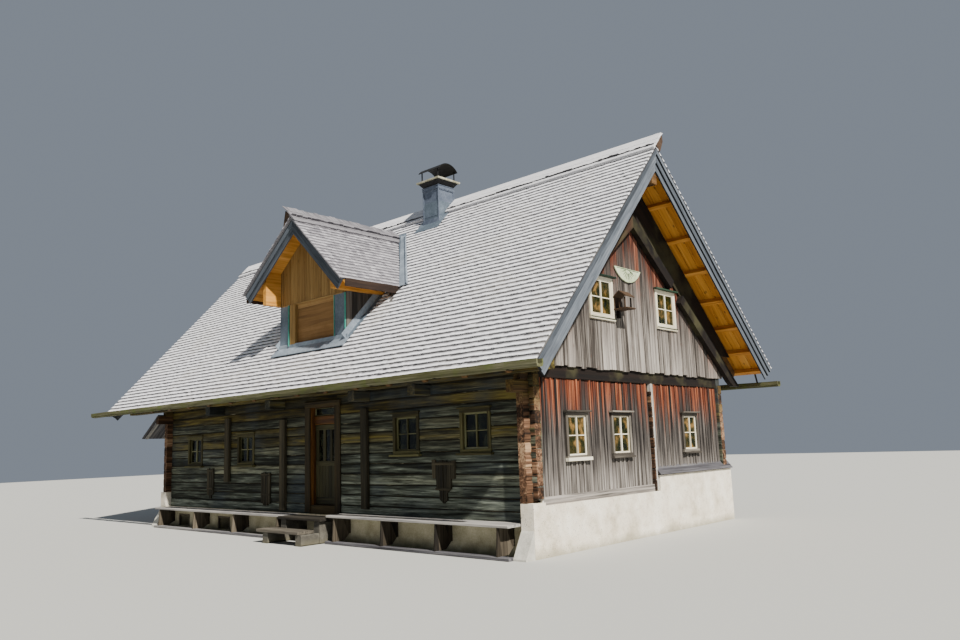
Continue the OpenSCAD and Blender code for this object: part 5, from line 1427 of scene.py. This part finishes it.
# %% Boards of the leaf
leaf_wood = timber("spruce_door_leaf_grey_brown", "14130a 292716 3d3a24 524e36",
                   across=50, along=1.6, checks=0.4, rough=0.7, bump=0.4, drift=0.2)
SLOTS = [(DOOR_X + i * 0.235 - 0.075, DOOR_X + i * 0.235 + 0.075) for i in (-1, 0, 1)]
SLOT_Z0, SLOT_Z1 = LEAF_Z + 0.910, LEAF_Z + LEAF_H - 0.110
x_l, x_r = HINGE_X, HINGE_X + LEAF_W
pile = Pile(117)
cuts = [x_l] + [q for s in SLOTS for q in s] + [x_r]
for a, b in zip(cuts[::2], cuts[1::2]):
    pile.beam((a, 0.270, SLOT_Z0), (b, 0.320, SLOT_Z1), "z", edge=0.008)
for z0, z1 in ((SLOT_Z1, LEAF_Z + LEAF_H), (SLOT_Z0 - 0.100, SLOT_Z0), (LEAF_Z, LEAF_Z + 0.150)):
    pile.beam((x_l, 0.270, z0), (x_r, 0.320, z1), "x")
for s in (x_l, x_r - 0.110):
    pile.beam((s, 0.270, LEAF_Z + 0.150), (s + 0.110, 0.320, SLOT_Z0 - 0.100), "z")
for a, b in spread(random.Random(3), x_l + 0.110, x_r - 0.110, 0.100, 0.125):
    pile.beam((a + 0.001, 0.277, LEAF_Z + 0.150), (b - 0.001, 0.313, SLOT_Z0 - 0.100), "z",
              edge=0.007)
leaf = pile.mesh_object("door_leaf_boards", leaf_wood)
print("leaf", LEAF_W, "by", LEAF_H, "m")

# %% [markdown]
# Long straps with round heads hold the boards together and end in the barrels of the hinges. A
# plate with a lever on the outside is the latch. All is forged and blackened.

# %% Straps, latch, barrels and panes of the leaf
straps = Pile(119)
for z in HINGES:
    straps.beam((HINGE_X + 0.030, 0.320, z + 0.012), (HINGE_X + LEAF_W * 0.7, 0.328, z + 0.058),
                "x", edge=0.002)
    straps.beam((HINGE_X, 0.321, z + 0.012), (HINGE_X + 0.030, 0.357, z + 0.058), "x", edge=0.002)
    for i in range(4):
        x = HINGE_X + 0.12 + 0.13 * i
        straps.beam((x, 0.327, z + 0.026), (x + 0.016, 0.332, z + 0.042), "x", edge=0.004)
latch = x_r - 0.075
for x0, x1, y0, y1, z0, z1, axis, edge in (
        (-0.020, 0.020, 0.266, 0.270, 0.860, 1.060, "z", 0.001),
        (-0.110, 0.010, 0.228, 0.244, 0.980, 0.998, "x", 0.004),
        (-0.008, 0.008, 0.236, 0.268, 0.981, 0.997, "y", 0.003)):
    straps.beam((latch + x0, y0, LEAF_Z + z0), (latch + x1, y1, LEAF_Z + z1), axis, edge=edge)
for z in HINGES:
    pin(straps, z + 0.001, z + 0.0695, 0.0138)
settle(join(leaf, straps.mesh_object("door_iron", iron)), "front_door", "door")
pile = Pile(123)
for a, b in SLOTS:
    w = Opening(((a + b) / 2, 0.295, 0), (1, 0, 0), FRONT)
    w.glaze(pile, 0.074, SLOT_Z0 + 0.001, SLOT_Z1 - 0.001, 0.002)
pile.make("door_panes", shade_glass, "door_glass", "door")

# %% [markdown]
# The dormer is younger than the house. Its gable is lined with narrow pine boards, and a
# plywood sheet closes the window for now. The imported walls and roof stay; boards and sheets are
# laid on them.

# %% Front of the dormer
plywood = timber("plywood_sheet_tan", "5c4123 7c5b33 8f6c41 a3814f", across=14,
                 along=0.8, checks=0.05, rough=0.7, bump=0.1, stain=("6e4a1e", 2.5, 0.5))
panel_pine = timber("pine_lining_narrow_tan", "5c4020 7f6134 967846 aa8b58",
                    across=40, along=1.2, checks=0.2, rough=0.65, bump=0.25, drift=0.12, knots=0.5)


def dormer_under(x):
    """Height of the underside of the dormer's roof."""
    return dormer_z(x) - 0.0905 / math.cos(PITCH_L if x < DORMER_X else PITCH_R)


lining = Pile(131)
for x0, x1 in spread(lining.rnd, -7.562, -5.128, 0.088, 0.100):
    mid = (x0 + x1) / 2
    peak = dormer_under(mid)
    lining.board((mid, 0.330, 5.165), (mid, 0.330, peak), (1, 0, 0), FRONT, x1 - x0 - 0.004, 0.062,
                 edge=0.006, n=2, head=lambda u: peak - dormer_under(mid + u))
lining.beam((-7.470, 0.250, 5.160), (-5.220, 0.268, 5.188), "x", n=4)
ply = Pile(133)
ply.beam((-6.950, 0.312, 4.250), (-5.518, 0.334, 5.176), "x", edge=0.003)
ply.beam((-6.945, 0.304, 5.060), (-5.520, 0.313, 5.176), "x", edge=0.003, tone=0.9)
ply.beam((-6.945, 0.306, 4.262), (-5.520, 0.313, 4.300), "x", edge=0.003)
posts = Pile(134)
posts.beam((-7.160, 0.232, 4.250), (-6.955, 0.330, 5.166), "z", edge=0.006, tone=0.8)
posts.beam((-5.560, 0.262, 4.250), (-5.518, 0.300, 5.166), "z", edge=0.004)
settle(join(lining.mesh_object("lining", panel_pine), ply.mesh_object("plywood", plywood),
            posts.mesh_object("posts", panel_pine)), "dormer_front")

# %% [markdown]
# Its sides are clad with grey sheet towards the front and with dark boards above the roof.
# Turquoise battens run up its corners, the only bright paint of the house.

# %% Sides of the dormer
side_sheet = mineral("dormer_side_sheet_slate_grey", "3a4550 505c67 66727e 7f8c98",
                     1.6, 0.1, 0.55, 0.2)
turquoise = mineral("batten_paint_turquoise", "1f6b60 2f8577 45a090", 9, 0.15, 0.6)
cheek = timber("spruce_cheek_board_dark", "211f1d 3a3733 4f4b46 625d57", across=50,
               along=1.5, checks=0.4, rough=0.85, bump=0.4)
pine_dormer = timber("pine_dormer_lining_golden", "8a5a20 b17a30 c68f42 d8a65c",
                     across=26, along=1.2, checks=0.15, rough=0.6, bump=0.2, source="y")
pile = Pile(135)
for x0, x1 in ((-7.566, -7.200), (-5.494, -5.146)):
    pile.beam((x0, 0.252, 4.196), (x1, 0.268, 5.166), "z", edge=0.004, n=4)
pile.make("dormer_side_sheets", side_sheet, slot="dormer_walls")
pile = Pile(136)
for x0, y0 in ((-7.198, 0.212), (-5.516, 0.240), (-5.142, 0.240)):
    pile.beam((x0, y0, 4.215), (x0 + 0.022, 0.268, 5.166), "z", edge=0.003)
pile.make("dormer_battens", turquoise, slot="dormer_walls")
pile = Pile(137)
for side, x in ((1, -5.119), (-1, -7.571)):
    for y0, y1 in spread(pile.rnd, 0.275, 1.15, 0.14, 0.19):
        mid, z0 = (y0 + y1) / 2, RIDGE_Z - (RIDGE_Y - y1) * math.tan(PITCH_F) + 0.012
        pile.board((x, mid, z0), (x, mid, 5.30), (0, 1, 0), (side, 0, 0), y1 - y0 - 0.004, 0.010,
                   edge=0.003)
pile.make("dormer_cheeks", cheek, slot="dormer_walls")
finish_nodes(side_sheet, "flashing")
finish_nodes(cheek, "dormer_walls")
finish_nodes(pine_dormer, "dormer_roof")

# %% [markdown]
# Dull zinc sheet lines the valleys, stands up as a seam beside them and along the foot of the
# cheeks, and forms the apron under the dormer's front.

# %% Valleys and apron
zinc = mineral("zinc_sheet_dull", "5b6570 76818c 8f9aa5 aab4be", 1.6, 0.1, 0.5, 0.2)


def plate(pile, h0, h1, *outline):
    """A flat piece on the front slope, from an outline of (x, s), between two heights."""
    pile.loft([[on_slope(True, x, s, h) for x, s in outline] for h in (h0, h1)])


def up_slope(y):
    """How far up the front slope a place lies."""
    return (y - EAVE_F) / math.cos(PITCH_F)


pile = Pile(139)
for side in (1, -1):
    run = SIDES[side][0]
    x_top, s_top = DORMER_X + side * 0.03, up_slope(meet_y(DORMER_Z))
    x_low = DORMER_X + side * run
    s_low = up_slope(meet_y(dormer_z(x_low))) - 0.02
    wide, seam = side * 0.235, side * 0.268
    plate(pile, 0.012, 0.020, (x_top, s_top + 0.10), (x_low - side * 0.02, s_low),
          (x_low + wide, s_low), (x_top + wide, s_top + 0.02))
    plate(pile, 0.012, 0.062, (x_top + wide, s_top + 0.02), (x_low + wide, s_low),
          (x_low + seam, s_low), (x_top + seam, s_top))
    # upstand along the foot of the cheek
    x = DORMER_X + side * (DORMER_HALF + 0.012)
    s0, s1 = up_slope(0.24), up_slope(1.20)
    plate(pile, 0.010, 0.150, (x, s0), (x + side * 0.012, s0), (x + side * 0.012, s1), (x, s1))
s0, s1 = up_slope(0.085), up_slope(0.262)
plate(pile, 0.012, 0.018, (-7.70, s0), (-4.99, s0), (-4.99, s1), (-7.70, s1))
pile.beam((-7.66, 0.235, 4.165), (-5.03, 0.250, 4.262), "x", edge=0.004)
pile.make("valley_sheets", zinc, slot="flashing")

# %% [markdown]
# The dormer's barge boards repeat those of the house in two steps. Its eaves end in a brown
# fascia, and small end boards close the capping of both ridges.

# %% Barge and end boards
fascia_brown = timber("larch_fascia_red_brown", "130d09 271b14 3a2b20 4c3b2e",
                      across=40, along=1.4, checks=0.4, rough=0.8, bump=0.4)
pile = Pile(141)
for side, (run, p) in SIDES.items():
    other = SIDES[-side][1]
    for i, deep in enumerate((0.305, 0.180)):
        y0, y1 = -0.197 - (i + 1) * STEP_T, -0.197 - i * STEP_T
        rings = []
        for h in (0.0555, deep):
            # mitred where both lower edges meet
            shift = h * (1 / math.cos(p) - 1 / math.cos(other)) / (math.tan(p) + math.tan(other))
            foot = dormer_matrix(side) @ Vector((0, 0, -h))
            hip = (DORMER_X - side * shift, 0, DORMER_Z - h / math.cos(p) + shift * math.tan(p))
            rings.append([(q[0], y, q[2]) for q, y in ((foot, y0), (foot, y1), (hip, y1),
                                                       (hip, y0))])
        pile.loft(rings, [(x * 1.3, h, y) for ring, h in zip(rings, (0.0555, deep))
                          for x, y, z in ring])
pile.make("dormer_barge_stepped", blue, "dormer_barge")
pile = Pile(143)
for side in (1, -1):
    x = DORMER_X + side * SIDES[side][0]
    z = dormer_z(x)
    pile.beam((x + side * 0.001, -0.190, z - 0.190),
              (x + side * 0.020, meet_y(z) - 0.08, z - 0.020), "y", n=6, wobble=0.003)
pile.loft([[(x, y, z) for x, z in ((-6.345, 7.028), (-6.610, 7.205), (-6.700, 6.800),
                                   (-6.560, 6.860))] for y in (-0.262, -0.240)])
for x0 in (0.738, -14.660):
    pile.loft([[(x, y, z) for y, z in ((3.432, 7.606), (3.690, 7.905), (3.700, 7.740),
                                       (3.570, 7.500))] for x in (x0, x0 + 0.022)])
pile.make("fascia_and_end_boards", fascia_brown, slot="dormer_roof")

# %% [markdown]
# The chimney is boxed in folded sheet with beads at its corners and around it, and flares to a
# skirt over the flashing at its foot.

# %% Chimney
chimney_zinc = mineral("zinc_sheet_blue_grey", "414a58 565f6e 6d7684 88909d", 1.2, 0.08, 0.45, 0.3)
finish_nodes(chimney_zinc, "chimney")
pile = Pile(151)
h = CHIMNEY / 2
CORNERS = (-1, -1), (-1, 1), (1, -1), (1, 1)
for sx, sy in CORNERS:
    x, y = CHIMNEY_X + sx * (h + 0.006), CHIMNEY_Y + sy * (h + 0.006)
    pile.beam((x - 0.016, y - 0.016, 7.20), (x + 0.016, y + 0.016, 8.12), "z", edge=0.004)
for z, out, tall in ((8.205, 0.036, 0.016), (8.110, 0.018, 0.016), (7.450, 0.016, 0.014)):
    for sy in (-1, 1):
        pile.beam((CHIMNEY_X - h - out, CHIMNEY_Y + sy * h, z),
                  (CHIMNEY_X + h + out, CHIMNEY_Y + sy * (h + out), z + tall), "x", edge=0.003)
    for sx in (-1, 1):
        pile.beam((CHIMNEY_X + sx * h, CHIMNEY_Y - h, z),
                  (CHIMNEY_X + sx * (h + out), CHIMNEY_Y + h, z + tall), "y", edge=0.003)
for way in (-1, 1):
    a, b = CHIMNEY_Y + way * (h + 0.002), CHIMNEY_Y + way * (h + 0.060)
    pile.loft([[(CHIMNEY_X + sx * (h + e), y, z)
                for y, z, e in ((a, 7.45, 0.01), (b, 7.16, 0.05), (a, 7.10, 0.05))]
               for sx in (-1, 1)])
pile.make("chimney_beads", chimney_zinc, slot="chimney")

# %% [markdown]
# A flat cover slab with a mossy edge lies on a tapered neck. It carries an arched cowl of black
# sheet on four thin legs, which keeps rain and snow out of the flue.

# %% Cover slab and cowl
slab_stone = mineral("cover_slab_mossy_concrete", "5d5b46 8a876f aeab97 cfccbd", 7, 0.5)
black = mineral("steel_sheet_black_sooty", "070708 0f0f11 1c1c1f", 5, 0.2, 0.7, 0.3)
SLAB, FLUE, COWL_HALF, COWL_RISE, COWL_CUTS = 0.390, 0.13, 0.330, 0.170, 18
slab = Pile(153)
for x0, x1, y0, y1 in ((-SLAB, SLAB, -SLAB, -FLUE), (-SLAB, SLAB, FLUE, SLAB),
                       (-SLAB, -FLUE, -FLUE, FLUE), (FLUE, SLAB, -FLUE, FLUE)):
    slab.beam((CHIMNEY_X + x0, CHIMNEY_Y + y0, 8.344), (CHIMNEY_X + x1, CHIMNEY_Y + y1, 8.381),
              "x", edge=0.002)
cowl = Pile(155)
cowl.loft([[(CHIMNEY_X + sx * e, CHIMNEY_Y + sy * e, z)
            for sx, sy in ((-1, -1), (1, -1), (1, 1), (-1, 1))]
           for e, z in ((0.268, 8.232), (0.350, 8.344))])
for sx, sy in CORNERS:
    x, y = CHIMNEY_X + sx * 0.280, CHIMNEY_Y + sy * 0.285
    cowl.beam((x - 0.013, y - 0.013, 8.380), (x + 0.013, y + 0.013, 8.672), "z", edge=0.003)
r = (COWL_HALF ** 2 + COWL_RISE ** 2) / (2 * COWL_RISE)
rings = []
for i in range(COWL_CUTS + 1):
    a = math.asin(COWL_HALF / r) * (2 * i / COWL_CUTS - 1)
    rings.append([(CHIMNEY_X + x, CHIMNEY_Y + q * math.sin(a), 8.790 - r + q * math.cos(a))
                  for x, q in ((-0.370, r), (-0.370, r - 0.010), (0.370, r - 0.010), (0.370, r))])
cowl.loft(rings)
settle(join(slab.mesh_object("cover_slab", slab_stone), cowl.mesh_object("cowl", black)),
       "chimney_cowl")

# %% [markdown]
# The gutters are hollowed larch trunks, black with moss. Iron straps nailed to the roof boards
# hold them. A trunk is a tube with an open top, so its ends are closed by strips between the
# outer and the inner side of its section.

# %% Gutters and their hooks
trough = timber("larch_gutter_mossy", "24240f 3b3b1d 54533a 77755f", across=40,
                along=1.5, checks=0.4, rough=0.9, bump=0.7, drift=0.2, stain=("4d5a1f", 4.0, 0.6))
SECTION = [(0, 0.125), (0.001, 0.045), (0.022, 0.010), (0.060, 0.0), (0.110, 0.0), (0.148, 0.010),
           (0.169, 0.045), (0.170, 0.125), (0.140, 0.125), (0.138, 0.055), (0.110, 0.034),
           (0.060, 0.034), (0.032, 0.055), (0.030, 0.125)]
STRIPS = [(0, 1, 12, 13), (1, 2, 11, 12), (2, 3, 11), (3, 4, 10, 11), (4, 5, 10), (5, 6, 9, 10),
          (6, 7, 8, 9)]
GUTTER_CUTS = 60
pile = Pile(161)
for x0, x1, y0, z0 in ((-15.200, 0.950, -0.960, 2.954), (-14.650, 0.830, 8.209, 2.945)):
    points, local = [], []
    for k in range(GUTTER_CUTS + 1):
        x = x0 + (x1 - x0) * k / GUTTER_CUTS
        for i, (y, z) in enumerate(SECTION):
            wave = noise.noise(Vector((x * 1.1, y * 9, z * 9 + y0))) * 0.007
            points.append((x, y0 + y + (0 if i in (0, 7) else wave * 0.4), z0 + z + wave))
            local.append((x, y, z))
    far = [tuple(GUTTER_CUTS * len(SECTION) + i for i in f) for f in STRIPS]
    pile.put(points, skin(len(SECTION), GUTTER_CUTS)[2:] + STRIPS + far, local)
pile.make("gutter_troughs", trough, "gutters")
finish_nodes(iron, "gutter_hooks")

# %% [markdown]
# Along the front run two benches of thick planks on splayed legs. Each leg is a wide plank from
# the front to the wall with a narrow one before it and a bracket behind, so that it throws the
# broad shadow of a real bench. The seats have gone silver, the legs are brown in the shade.

# %% Benches
bench_wood = timber("larch_plank_bench_silver", "313034 57565a 7f7d7b a5a19b",
                    across=50, along=1.4, checks=0.5, rough=0.85, bump=0.5, drift=0.3)
bench_dark = timber("larch_bench_leg_brown", "15120e 2f2920 474035 655d4f", across=50,
                    along=1.4, checks=0.5, rough=0.85, bump=0.5)
seats, legs = Pile(171), Pile(173)


def leg(x, half, *outline):
    """A plank across the bench, from its outline (y, z)."""
    legs.loft([[(x + e, y, z) for y, z in outline] for e in (-half, half)],
              [(z, e, y) for e in (-half, half) for y, z in outline])


EDGE = -0.330
for x0, x1, top, y_in in ((-5.070, -0.272, 0.555, 0.148), (-12.440, -6.552, 0.505, 0.098)):
    low = top - 0.045
    for a, b in ((EDGE, EDGE + 0.225), (EDGE + 0.225, y_in)):
        seats.beam((x0 + seats.rnd.uniform(0, 0.02), a + 0.002, low),
                   (x1 - seats.rnd.uniform(0, 0.02), b - 0.002, top), "x", edge=0.008, n=14,
                   wobble=0.002)
    seats.beam((x0, EDGE - 0.014, 0.002), (x1, EDGE + 0.104, 0.058), "x", edge=0.010, n=14,
               wobble=0.004)
    under = low + 0.001
    for i in range(4):
        x = x0 + 0.250 + i * (x1 - x0 - 0.500) / 3
        leg(x, 0.017, (EDGE - 0.009, 0.058), (EDGE + 0.100, 0.058), (EDGE + 0.048, under),
            (EDGE + 0.021, under))
        leg(x, 0.017, (0.099, under), (-0.099, under), (0.041, low - 0.328), (0.099, low - 0.328))
        leg(x, 0.014, (EDGE + 0.030, under), (0.098, under), (0.098, low - 0.300),
            (-0.060, 0.059), (EDGE + 0.060, 0.059))
settle(join(seats.mesh_object("bench_seats", bench_wood), legs.mesh_object("legs", bench_dark)),
       "benches")

# %% [markdown]
# Dark hewn posts and three shields of upright boards are nailed to the logs. The shields taper
# to a foot, and two battens across each hold its boards together.

# %% Posts and shield boards
post_wood = timber("larch_post_dark_hewn", "15130e 28251b 3d382a 544d3b", across=40,
                   along=1.4, checks=0.5, rough=0.85, bump=0.6, drift=0.2)
pile = Pile(177)
for x, z0, z1 in ((-9.596, 1.157, 2.673), (-7.216, 0.562, 2.540), (-4.348, 0.665, 2.630)):
    pile.beam((x - 0.098, 0.062, z0), (x + 0.098, 0.149, z1), "z", edge=0.016, n=9, wobble=0.006)
for x, z0, z1, half, taper in ((-10.435, 0.736, 1.500, 0.16, 0.25),
                               (-7.934, 0.632, 1.400, 0.19, 0.1),
                               (-2.152, 0.817, 1.600, 0.303, 0.8)):
    for a, b in spread(pile.rnd, x - half, x + half, 0.085, 0.120):
        mid = (a + b) / 2
        off = max(0.0, abs(mid - x) / half - 0.3)
        lean = 0.25 * taper * (1 if mid > x else -1) * off
        pile.board((mid - lean * 0.15, 0.149, z0 + taper * (z1 - z0) * off),
                   (mid, 0.149, z1 - 0.05 * pile.rnd.random()), (1, 0, 0), FRONT, b - a - 0.010,
                   0.030 + 0.008 * pile.rnd.random(), edge=0.005, n=4, wobble=0.003,
                   foot=lambda u: taper * abs(mid + u - x))
    for z in (z0 + 0.30 * (z1 - z0), z1 - 0.10):
        wide = half * (0.65 if z < z1 - 0.2 and taper > 0.5 else 0.92)
        pile.beam((x - wide, 0.103, z), (x + wide, 0.111, z + 0.045), "x", edge=0.003)
pile.make("posts_and_boards", post_wood, "wall_posts")

# %% [markdown]
# Planks lie on rough stone blocks in front of the door as two steps, grey and trodden.

# %% Door step
step_wood = timber("spruce_plank_step_trodden", "191612 38342d 575249 767065",
                   across=50, along=1.4, checks=0.5, rough=0.85, bump=0.6)
stone = mineral("field_stone_grey", "26241f 3d3a34 545148 6e6a60", 4, 0.6, 0.9,
                foot=("5a5644", 0.12))
STEP_LONG, STEP_PLANK = 1.476, 0.058
planks, blocks = Pile(179), Pile(181)
for x0, z0, start, end, low, high in ((-6.548, 0.441, -0.460, 0.098, 0.17, 0.20),
                                      (-6.688, 0.221, -0.888, -0.492, 0.18, 0.21)):
    for y0, y1 in spread(planks.rnd, start, end, low, high):
        planks.beam((x0, y0 + 0.003, z0), (x0 + STEP_LONG, y1 - 0.003, z0 + STEP_PLANK), "x",
                    edge=0.010, n=5, wobble=0.003)
for x in (-6.490, -5.330):
    for y0, y1, z1, wobble in ((-0.418, 0.096, 0.440, 0.012), (-0.856, -0.425, 0.219, 0.010)):
        blocks.beam((x + 0.004, y0, 0.002), (x + 0.196, y1, z1), "y", edge=0.022, n=5,
                    wobble=wobble)
settle(join(planks.mesh_object("step_planks", step_wood), blocks.mesh_object("step_stones", stone)),
       "door_step")

# %% [markdown]
# Under the logs stands a thick wall, whitewashed again and again on its sides. The lime is
# pitted and dirty near its foot, so it doesn't look like new paint. The cellar wall in front
# is plastered beige and not whitewashed.

# %% Plaster of the plinth
lime = mineral("lime_plaster_whitewashed", "a99d86 d4cab6 e9e2d2 faf5ea", 2.6, 1.0,
               0.9, pits=0.8, foot=("9b9582", 0.14))
cellar = mineral("cellar_plaster_beige", "847c60 a59d80 bcb599 d0cab2", 2.2, 0.7,
                 0.9, foot=("57543c", 0.16))
finish_nodes(lime, "plinth_sides", "plinth_back")
finish_nodes(cellar, "plinth_front", "vent_blocks")
print("plaster on the plinth")

# %% [markdown]
# At both front corners a pier of concrete slants forward under the bench's end. A shaft of dark
# boards closes each cellar vent. The floors inside are plain spruce.

# %% Pier feet, vent shutters and floors
concrete = mineral("concrete_pier_grey", "8d8b82 a9a79d bfbdb3 d2d0c8", 3, 0.6, 0.9)
pile = Pile(183)
for X in (mirror(True), mirror(False)):
    pile.loft([[(x, y, z) for y, z in ((0.001, 0.0), (0.001, 0.45), (-0.020, 0.42),
                                       (-0.235, 0.030), (-0.235, 0.0))]
               for x in (X(-0.268), X(-0.004))])
pile.make("pier_feet", concrete, slot="plinth_sides")
pile = Pile(185)
for x in (-11.670, -9.705):
    for a, b in spread(pile.rnd, x - 0.278, x + 0.278, 0.10, 0.14):
        pile.beam((a + 0.003, 0.420, 0.042), (b - 0.003, 0.450, 0.338), "z")
    for s in (-1, 1):
        pile.beam((x + s * 0.279, 0.090, 0.041), (x + s * 0.235, 0.140, 0.339), "z", tone=0.9)
    pile.beam((x - 0.235, 0.090, 0.300), (x + 0.235, 0.140, 0.339), "x", tone=0.9)
pile.make("vent_shutters", bench_dark, slot="vent_blocks")
floor_wood = timber("spruce_floor_board", "6b4d2c 8c693f a27f52 b8966a", across=30,
                    along=1.2, source="x", checks=0.2)
finish_nodes(floor_wood, "ground_floor", "attic_floor")

# %% [markdown]
# On the right gable hangs a half round sundial, painted pale green, with dark lines for its
# hours. Its plate has an eased rim, which catches the light. It bears no figures, because none
# can be read.

# %% Sundial
dial_paint = mineral("sundial_paint_pale_green", "8f9c78 aebb96 c3cdaf d5dcc6", 9, 0.3, 0.7)
mark = mineral("sundial_lines_dark_green", "1d2b18 2e4026 455a3a", 9, 0.2, 0.7)
DIAL_HALF, DIAL_RISE, DIAL_Y, DIAL_Z, DIAL_CUTS = 0.480, 0.275, 3.262, 4.910, 28
r = (DIAL_HALF ** 2 + DIAL_RISE ** 2) / (2 * DIAL_RISE)
turns = [math.asin(DIAL_HALF / r) * (2 * i / DIAL_CUTS - 1) for i in range(DIAL_CUTS + 1)]
plates, lines = Pile(191), Pile(193)
plates.loft([[(x, DIAL_Y + r * math.sin(a) * wide,
               DIAL_Z + 0.13 + (r - r * math.cos(a) - 0.13) * tall) for a in turns]
             for x, wide, tall in ((0.001, 1, 1), (0.021, 1, 1), (0.025, 0.99, 0.985))])
gnomon = Vector((0.026, DIAL_Y, DIAL_Z + 0.262))
for i in range(-4, 5):
    a = math.radians(18 * i)
    start, d = gnomon - Vector((0.001, 0, 0)), Vector((0, math.sin(a), -math.cos(a)))
    lines.board(start + d * 0.085, start + d * 0.205, Vector((0, d.z, -d.y)), (1, 0, 0), 0.014,
                0.003, edge=0.001)
lines.beam((0.024, DIAL_Y - 0.40, DIAL_Z + 0.250), (0.028, DIAL_Y + 0.40, DIAL_Z + 0.262), "y",
           edge=0.001)
lines.board(gnomon - Vector((0.004, 0, 0)), gnomon + Vector((0.120, 0, -0.150)), (0, 1, 0),
            (0.78, 0, 0.62), 0.010, 0.008, edge=0.002)
dial = join(plates.mesh_object("dial", dial_paint), lines.mesh_object("dial_lines", mark))
print("sundial of radius", round(r, 3))

# %% [markdown]
# Beside it a bird table with a little roof of two boards stands on the wall, black brown and
# worn.

# %% Bird table
old_brown = timber("spruce_bird_table_brown", "0b0705 1b120b 2e2015 453424", across=60,
                   along=2, checks=0.5, rough=0.85, bump=0.5, drift=0.5)
pile = Pile(195)
y0, y1, z0 = 2.706, 2.956, 4.300
pile.beam((0.002, y0 - 0.02, z0), (0.322, y1 + 0.02, z0 + 0.024), "y", edge=0.004)
pile.beam((0.002, y0 + 0.005, z0 + 0.024), (0.020, y1 - 0.005, z0 + 0.235), "z", edge=0.003)
for y in (y0 + 0.010, y1 - 0.034):
    pile.beam((0.232, y, z0 + 0.024), (0.256, y + 0.024, z0 + 0.228), "z", edge=0.004)
    pile.beam((0.110, y, z0 + 0.024), (0.128, y + 0.024, z0 + 0.150), "z", edge=0.004)
half = Vector((0, (y1 - y0) / 2 + 0.03, 0))
for s in (-1, 1):
    ridge = Vector((0.150, (y0 + y1) / 2, z0 + 0.348))
    fall = Vector((s * 0.150, 0, -0.118))
    mid = ridge + fall / 2
    pile.board(mid - half, mid + half, fall.normalized(), (s * 0.62, 0, 0.78), fall.length, 0.016,
               edge=0.003)
pile.beam((0.002, 2.800, z0 - 0.150), (0.060, 2.862, z0), "z", edge=0.004)
settle(join(dial, pile.mesh_object("bird_table", old_brown)), "gable_fittings")

# %% [markdown]
# A sloped ledge sheds the water from the higher part of the plinth, and at the far gable a
# lean-to roof of boards rests on brackets. Both are as silver as the benches.

# %% Ledge and lean-to roof
ledge = Pile(197)
ledge.sweep([(0.050, 0.016), (0.034, 0.036), (-0.090, 0.180), (-0.090, 0.146), (0.030, 0.008)],
            (0, 3.975, 1.120), (0, 7.170, 1.120), (1, 0, 0), (0, 0, 1), n=10, wobble=0.003)
ledge.make("rear_ledge", bench_wood, slot="plinth_sides")
pent = Pile(199)
fall = math.atan2(0.590, 0.920)
square = (-math.sin(fall), 0, math.cos(fall))
for y0, y1 in spread(pent.rnd, -0.198, 1.948, 0.16, 0.22):
    a = Vector((-12.682, (y0 + y1) / 2, 2.895))
    pent.board(a, a + Vector((-0.915, 0, -0.587)), (0, 1, 0), square, y1 - y0 - 0.006, 0.036,
               edge=0.006, n=2)
for y in (-0.120, 0.860, 1.830):
    a = Vector((-12.690, y + 0.04, 2.862))
    pent.board(a, a + Vector((-0.880, 0, -0.565)), (0, 1, 0), square, 0.080, 0.030)
for y in (0.400, 1.820):
    pent.beam((-13.300, y + 0.004, 2.440), (-12.786, y + 0.076, 2.510), "x", edge=0.006)
    pent.board((-12.792, y + 0.04, 2.060), (-13.200, y + 0.04, 2.460), (0, 1, 0), (-0.7, 0, -0.7),
               0.070, 0.060)
pent.make("lean_to_roof", bench_wood, "pent_roof")
